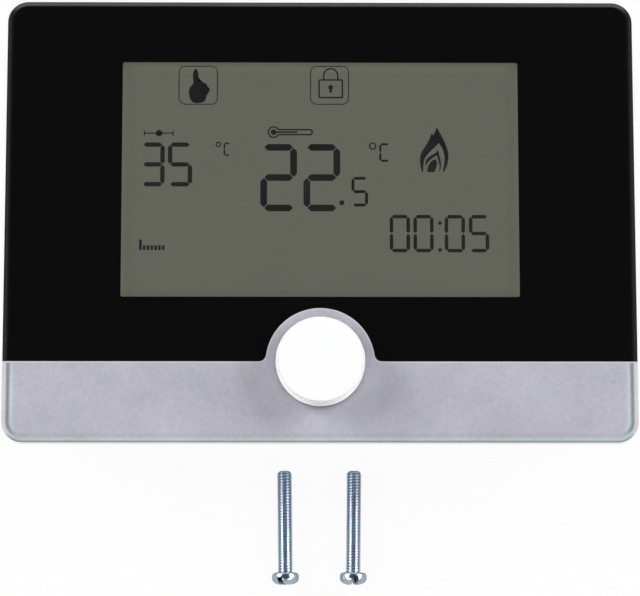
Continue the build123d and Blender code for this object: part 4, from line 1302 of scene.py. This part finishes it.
@dataclass
class LooseScrews:
    """Two threaded machine screws lying on the floor below the unit.

    Crest and flank are shares of the pitch: half a crest, and one flank of the thread.
    """

    length: float = 19.8
    radius: float = 1.45
    pitch: float = 0.56
    thread_depth: float = 0.28
    # share of painted shade at the thread's root
    thread_shade: float = 0.38
    crest: float = 0.1
    flank: float = 0.4
    point: float = 0.5
    sunk: float = 0.02
    around: int = 40
    per_turn: int = 12
    head_radius: float = 2.6
    head_height: float = 2.3
    head_round: float = 1.25
    roundness: float = 0.985
    seat_round: float = 0.6
    slot_width: float = 1.0
    cross_length: float = 2.6
    recess_depth: float = 1.2
    hair: float = 0.01
    lines: int = 22
    spacing: float = 13.4
    tip_y: float = -46.3
    splay: float = 0.65
    rolls: Point = (26.0, -12.0)
    crease: float = 30.0

    def shank(self) -> tuple[Surface, np.ndarray]:
        """The thread: radius by angle and height.

        With p the height over the pitch less the turn, wrapped to -0.5..0.5, the radius is the
        outer one less the depth times clamp((|p| - crest) / flank, 0, 1), so crests are flat and
        roots sharp, and it is held inside a cone at the point.

        Returns:
            The surface, and the painted shade that darkens each point towards the thread's root.
        """
        rows = int(self.length / self.pitch * self.per_turn)
        height = np.linspace(-self.length, self.sunk, rows)[:, None]
        turn = np.linspace(0, 2 * np.pi, self.around, endpoint=False)[None, :]
        wave = np.mod(height / self.pitch - turn / (2 * np.pi) + 0.5, 1.0) - 0.5
        groove = np.clip((np.abs(wave) - self.crest) / self.flank, 0, 1)
        cone = self.radius - self.point + (height + self.length)
        radius = np.minimum(self.radius - self.thread_depth * groove, cone)
        points = np.stack([radius * np.cos(turn), radius * np.sin(turn), height + 0 * turn], -1)
        tip = np.arange(self.around)
        ends = [tip[::-1].tolist(), (tip + (rows - 1) * self.around).tolist()]
        surface = points.reshape(-1, 3), grid_faces(rows, self.around) + ends
        return surface, self.thread_shade * groove.ravel()

    def recess(self, across: np.ndarray, along: np.ndarray) -> np.ndarray:
        """Whether each point lies in the slot or in the cross."""
        slot, cross = self.slot_width / 2, self.cross_length / 2
        return (np.abs(across) < slot) | (np.abs(along) < slot) & (np.abs(across) < cross)

    def crown(self, across: np.ndarray, along: np.ndarray) -> np.ndarray:
        """Height of the head's upper face: a dome that rounds over at the rim, less the recess.

        With s the distance from the axis over the head's radius, the dome is the head's height
        less its rounding times 1 - sqrt(1 - k s^3).

        Args:
            across: distance from the slot's middle line, mm.
            along: distance along the slot, mm.

        Returns:
            The heights, mm.
        """
        out = np.clip(np.hypot(across, along) / self.head_radius, 0, 1)
        dome = self.head_height - self.head_round * (1 - np.sqrt(1 - self.roundness * out**3))
        floor = np.minimum(dome, self.head_height - self.recess_depth)
        return np.where(self.recess(across, along), floor, dome)

    def lattice(self) -> tuple[np.ndarray, np.ndarray]:
        """Where the lines across the head and the points along them stand.

        A line at x spans the chord of the disc there, y = t sqrt(R^2 - x^2) with t from -1 to 1,
        so that the slot's walls are straight. Each wall is two lines a hair apart.

        Returns:
            X and y of each point, as grids.
        """
        slot, cross, hair = self.slot_width / 2, self.cross_length / 2, self.hair
        across_slot = np.append(np.linspace(0, slot - hair, 3), slot + hair)
        edge = self.head_radius * np.cos(np.linspace(0.02, np.pi / 2 - 0.2, self.lines))[::-1]
        outer = edge[edge > slot + 3 * hair]
        x = np.sort(np.concatenate([across_slot, outer, [cross - hair, cross + hair]]))
        x = np.concatenate([-x[:0:-1], x])[:, None]
        outside = np.linspace(slot + 10 * hair, self.head_radius, self.lines)
        t = np.concatenate([across_slot, outside]) / self.head_radius
        t = np.concatenate([-t[:0:-1], t])[None, :]
        return x + 0 * t, t * np.sqrt(self.head_radius**2 - x**2)

    def head(self) -> tuple[Surface, np.ndarray]:
        """The head: its upper face as a grid over a disc, then its side and its underside.

        The side rounds in to the seat by a quarter circle: radius R - r (1 - cos a) at height
        r (1 - sin a).

        Returns:
            The surface, and the painted shade that darkens each point in the recess.
        """
        x, y = self.lattice()
        top = np.stack([x, y, self.crown(x, y)], -1).reshape(-1, 3)
        index = np.arange(x.size).reshape(x.shape)
        rim = [index[0, :-1], index[:-1, -1], index[-1, :0:-1], index[:0:-1, 0]]
        rim = np.concatenate(rim)
        turn = np.linspace(0, np.pi / 2, 6)[:, None]
        inward = 1 - self.seat_round * (1 - np.cos(turn)) / self.head_radius
        rings = top[rim][None] * np.stack([inward, inward, 0 * inward], -1)
        rings[:, :, 2] = self.seat_round * (1 - np.sin(turn))
        rings = rings.reshape(-1, 3)
        below = x.size + np.arange(len(rings)).reshape(len(turn), -1)
        loops = np.concatenate([rim[None], below])
        beside = np.roll(loops, -1, 1)
        sides = np.stack([loops[:-1], beside[:-1], beside[1:], loops[1:]], -1).reshape(-1, 4)
        faces = grid_faces(*x.shape, closed=False) + sides.tolist() + [loops[-1].tolist()]
        surface = np.concatenate([top, rings]), faces
        # painted shade: the whole recess takes full shade
        return surface, np.append(self.recess(x, y), np.zeros(len(rings)))

    def make(self) -> None:
        """Builds both screws, each resting on the rim of its head and on its point."""
        tilt = np.arcsin((self.head_radius - self.radius) / (self.length - self.point))
        drift = self.length * np.sin(np.radians(self.splay))
        x = self.spacing / 2 - drift / 2
        y, z = self.tip_y - self.length * np.cos(tilt), self.head_radius * np.cos(tilt)
        made, groove_shades = zip(self.shank(), self.head())
        for name, side, roll in zip(("screw_left", "screw_right"), (-1, 1), self.rolls):
            turned = (
                Matrix.Rotation(np.radians(-side * self.splay), 3, "Z")
                @ Matrix.Rotation(np.pi / 2 - tilt, 3, "X")
                @ Matrix.Rotation(np.radians(roll), 3, "Z")
            )
            place = np.array((side * x, y, z))
            laid = [(points @ np.array(turned).T + place, faces) for points, faces in made]
            shades = np.concatenate(groove_shades)
            piece = build_piece(name, laid, ZINC, "base", self.crease, shades)
            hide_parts("mounting_screws")


# ---------------------------------------------------------------- studio


@dataclass
class SoftBox:
    """A large soft lamp: where it hangs, its size in metres and its power in watts."""

    name: str
    place: tuple[float, float, float]
    size: Point
    power: float

    def make(self) -> None:
        """Hangs the lamp and turns it to the object."""
        lamp = bpy.data.lights.new(self.name, "AREA")
        lamp.shape, lamp.size, lamp.size_y, lamp.energy = "RECTANGLE", *self.size, self.power
        box = bpy.data.objects.new(self.name, lamp)
        box.location = self.place
        box.rotation_euler = (-Vector(self.place)).to_track_quat("-Z", "Y").to_euler()
        bpy.context.scene.collection.objects.link(box)


@dataclass
class Studio:
    """Pale floor, soft light from four corners, cards that only metal mirrors, and the camera.

    The camera's place is in millimetres and its turns about X, Y and Z are in degrees. Sky levels
    are (height, brightness) pairs, from straight down at nought to straight up at one.
    """

    floor_size: float = 4.0
    floor_level: float = -0.02
    floor_colour: str = "#F4F4F4"
    floor_in_metal: str = "#B4B8BE"
    floor_lift: float = 0.94
    sky_levels: Path = ((0.0, 1.0), (0.49, 1.0), (0.51, 0.35), (0.8, 0.35), (0.925, 0.05))
    lens_pixels: float = 2416.6
    frame_width: float = 640.0
    sensor: float = 36.0
    clip: Point = (0.01, 20.0)
    camera_place: tuple[float, float, float] = (-4.3567, -75.7912, 475.003)
    camera_turn: tuple[float, float, float] = (-7.6678, 0.5402, -0.0622)
    lamps: tuple[SoftBox, ...] = (
        SoftBox("lamp_back_left", (-0.8, 0.38, 0.52), (0.5, 0.45), 6.6),
        SoftBox("lamp_back_right", (0.8, 0.38, 0.52), (0.5, 0.45), 6.6),
        SoftBox("lamp_front_left", (-0.55, -0.6, 0.6), (0.5, 0.4), 1.6),
        SoftBox("lamp_front_right", (0.55, -0.6, 0.6), (0.5, 0.4), 1.6),
        SoftBox("card_left", (-0.8, -0.05, 0.46), (0.45, 0.45), 0.75),
        SoftBox("card_right", (0.8, -0.05, 0.46), (0.45, 0.45), 0.75),
        SoftBox("card_top", (0.0, -0.35, 1.2), (0.5, 0.35), 0.45),
    )

    def camera(self) -> None:
        """Stands the camera where it sees the unit from a little below its middle."""
        about_x, about_y, about_z = (
            Matrix.Rotation(np.radians(angle), 3, axis)
            for angle, axis in zip(self.camera_turn, "XYZ")
        )
        turn = (about_z @ about_y @ about_x).transposed()
        data = bpy.data.cameras.new("camera")
        data.sensor_width = self.sensor
        data.lens = self.lens_pixels * self.sensor / self.frame_width
        data.clip_start, data.clip_end = self.clip
        camera = bpy.data.objects.new("camera", data)
        camera.matrix_world = Matrix.Translation(Vector(self.camera_place) * MM) @ turn.to_4x4()
        bpy.context.scene.collection.objects.link(camera)
        bpy.context.scene.camera = camera

    def paper(self) -> bpy.types.Material:
        """White paper: seen as white with the object's shadow, grey in metal.

        It is open from below, and to the rays that carry the lamps' and the sky's light.

        Returns:
            The material.
        """
        material = bpy.data.materials.new("mt_floor_paper_white")
        material.use_nodes = True
        tree = material.node_tree
        tree.nodes.clear()
        path = add_node(tree, "LightPath").outputs
        white, grey = linear(self.floor_colour), linear(self.floor_in_metal)
        tones = {"Factor": path["Is Glossy Ray"], "A": white, "B": grey}
        tone = add_node(tree, "Mix", tones, data_type="RGBA").outputs["Result"]
        paper = add_node(tree, "BsdfDiffuse", {"Color": tone})
        glow = add_node(tree, "Emission", {"Color": (1, 1, 1, 1), "Strength": 1.0})
        seen = {0: path["Is Camera Ray"], 1: path["Is Transmission Ray"]}
        seen = add_node(tree, "Math", seen, operation="MAXIMUM")
        lift = add_node(tree, "Math", {0: seen, 1: self.floor_lift}, operation="MULTIPLY")
        shown = add_node(tree, "MixShader", {0: lift, 1: paper, 2: glow})
        gone = add_node(tree, "NewGeometry").outputs["Backfacing"]
        for ray in ("Is Shadow Ray", "Is Diffuse Ray"):
            gone = add_node(tree, "Math", {0: gone, 1: path[ray]}, operation="MAXIMUM")
        mixed = {0: gone, 1: shown, 2: add_node(tree, "BsdfTransparent")}
        add_node(tree, "OutputMaterial", {"Surface": add_node(tree, "MixShader", mixed)})
        return material

    def floor(self) -> None:
        """Lays the floor, a hair under the object."""
        half = self.floor_size / 2
        corners = [(-half, -half), (half, -half), (half, half), (-half, half)]
        mesh = bpy.data.meshes.new("floor")
        mesh.from_pydata([(x, y, self.floor_level * MM) for x, y in corners], [], [[0, 1, 2, 3]])
        mesh.materials.append(self.paper())
        floor = bpy.data.objects.new("floor", mesh)
        bpy.context.scene.collection.objects.link(floor)

    def sky(self) -> None:
        """Lights from all round: white below, dim at the sides, dark overhead; seen as white."""
        world = bpy.data.worlds.new("sky")
        bpy.context.scene.world = world
        world.use_nodes = True
        tree = world.node_tree
        tree.nodes.clear()
        towards = add_node(tree, "TexCoord").outputs["Generated"]
        height = add_node(tree, "SeparateXYZ", {0: towards}).outputs[2]
        share = add_node(tree, "MapRange", {0: height, 1: -1.0, 2: 1.0})
        stops = [(at, (level, level, level, 1.0)) for at, level in self.sky_levels]
        colour = fill_ramp(add_node(tree, "ValToRGB", {0: share}), stops)
        light = add_node(tree, "Background", {"Color": colour, "Strength": 1.0})
        white = add_node(tree, "Background", {"Color": (1, 1, 1, 1), "Strength": 1.0})
        seen = add_node(tree, "LightPath").outputs["Is Camera Ray"]
        surface = add_node(tree, "MixShader", {0: seen, 1: light, 2: white})
        add_node(tree, "OutputWorld", {"Surface": surface})

    def make(self) -> None:
        """Sets up the camera, the floor, the sky and the lamps."""
        bpy.context.scene.view_settings.view_transform = "Standard"
        self.camera()
        self.floor()
        self.sky()
        for lamp in self.lamps:
            lamp.make()
        log.info("studio ready")


def main() -> None:
    """Builds and dresses each sub-assembly."""
    logging.basicConfig(level=logging.INFO, format="%(name)s: %(message)s")
    for part in (Studio(), Case(), Front(), Display(), Dial(), Electronics(), LooseScrews()):
        part.make()


if __name__ == "__main__":
    main()
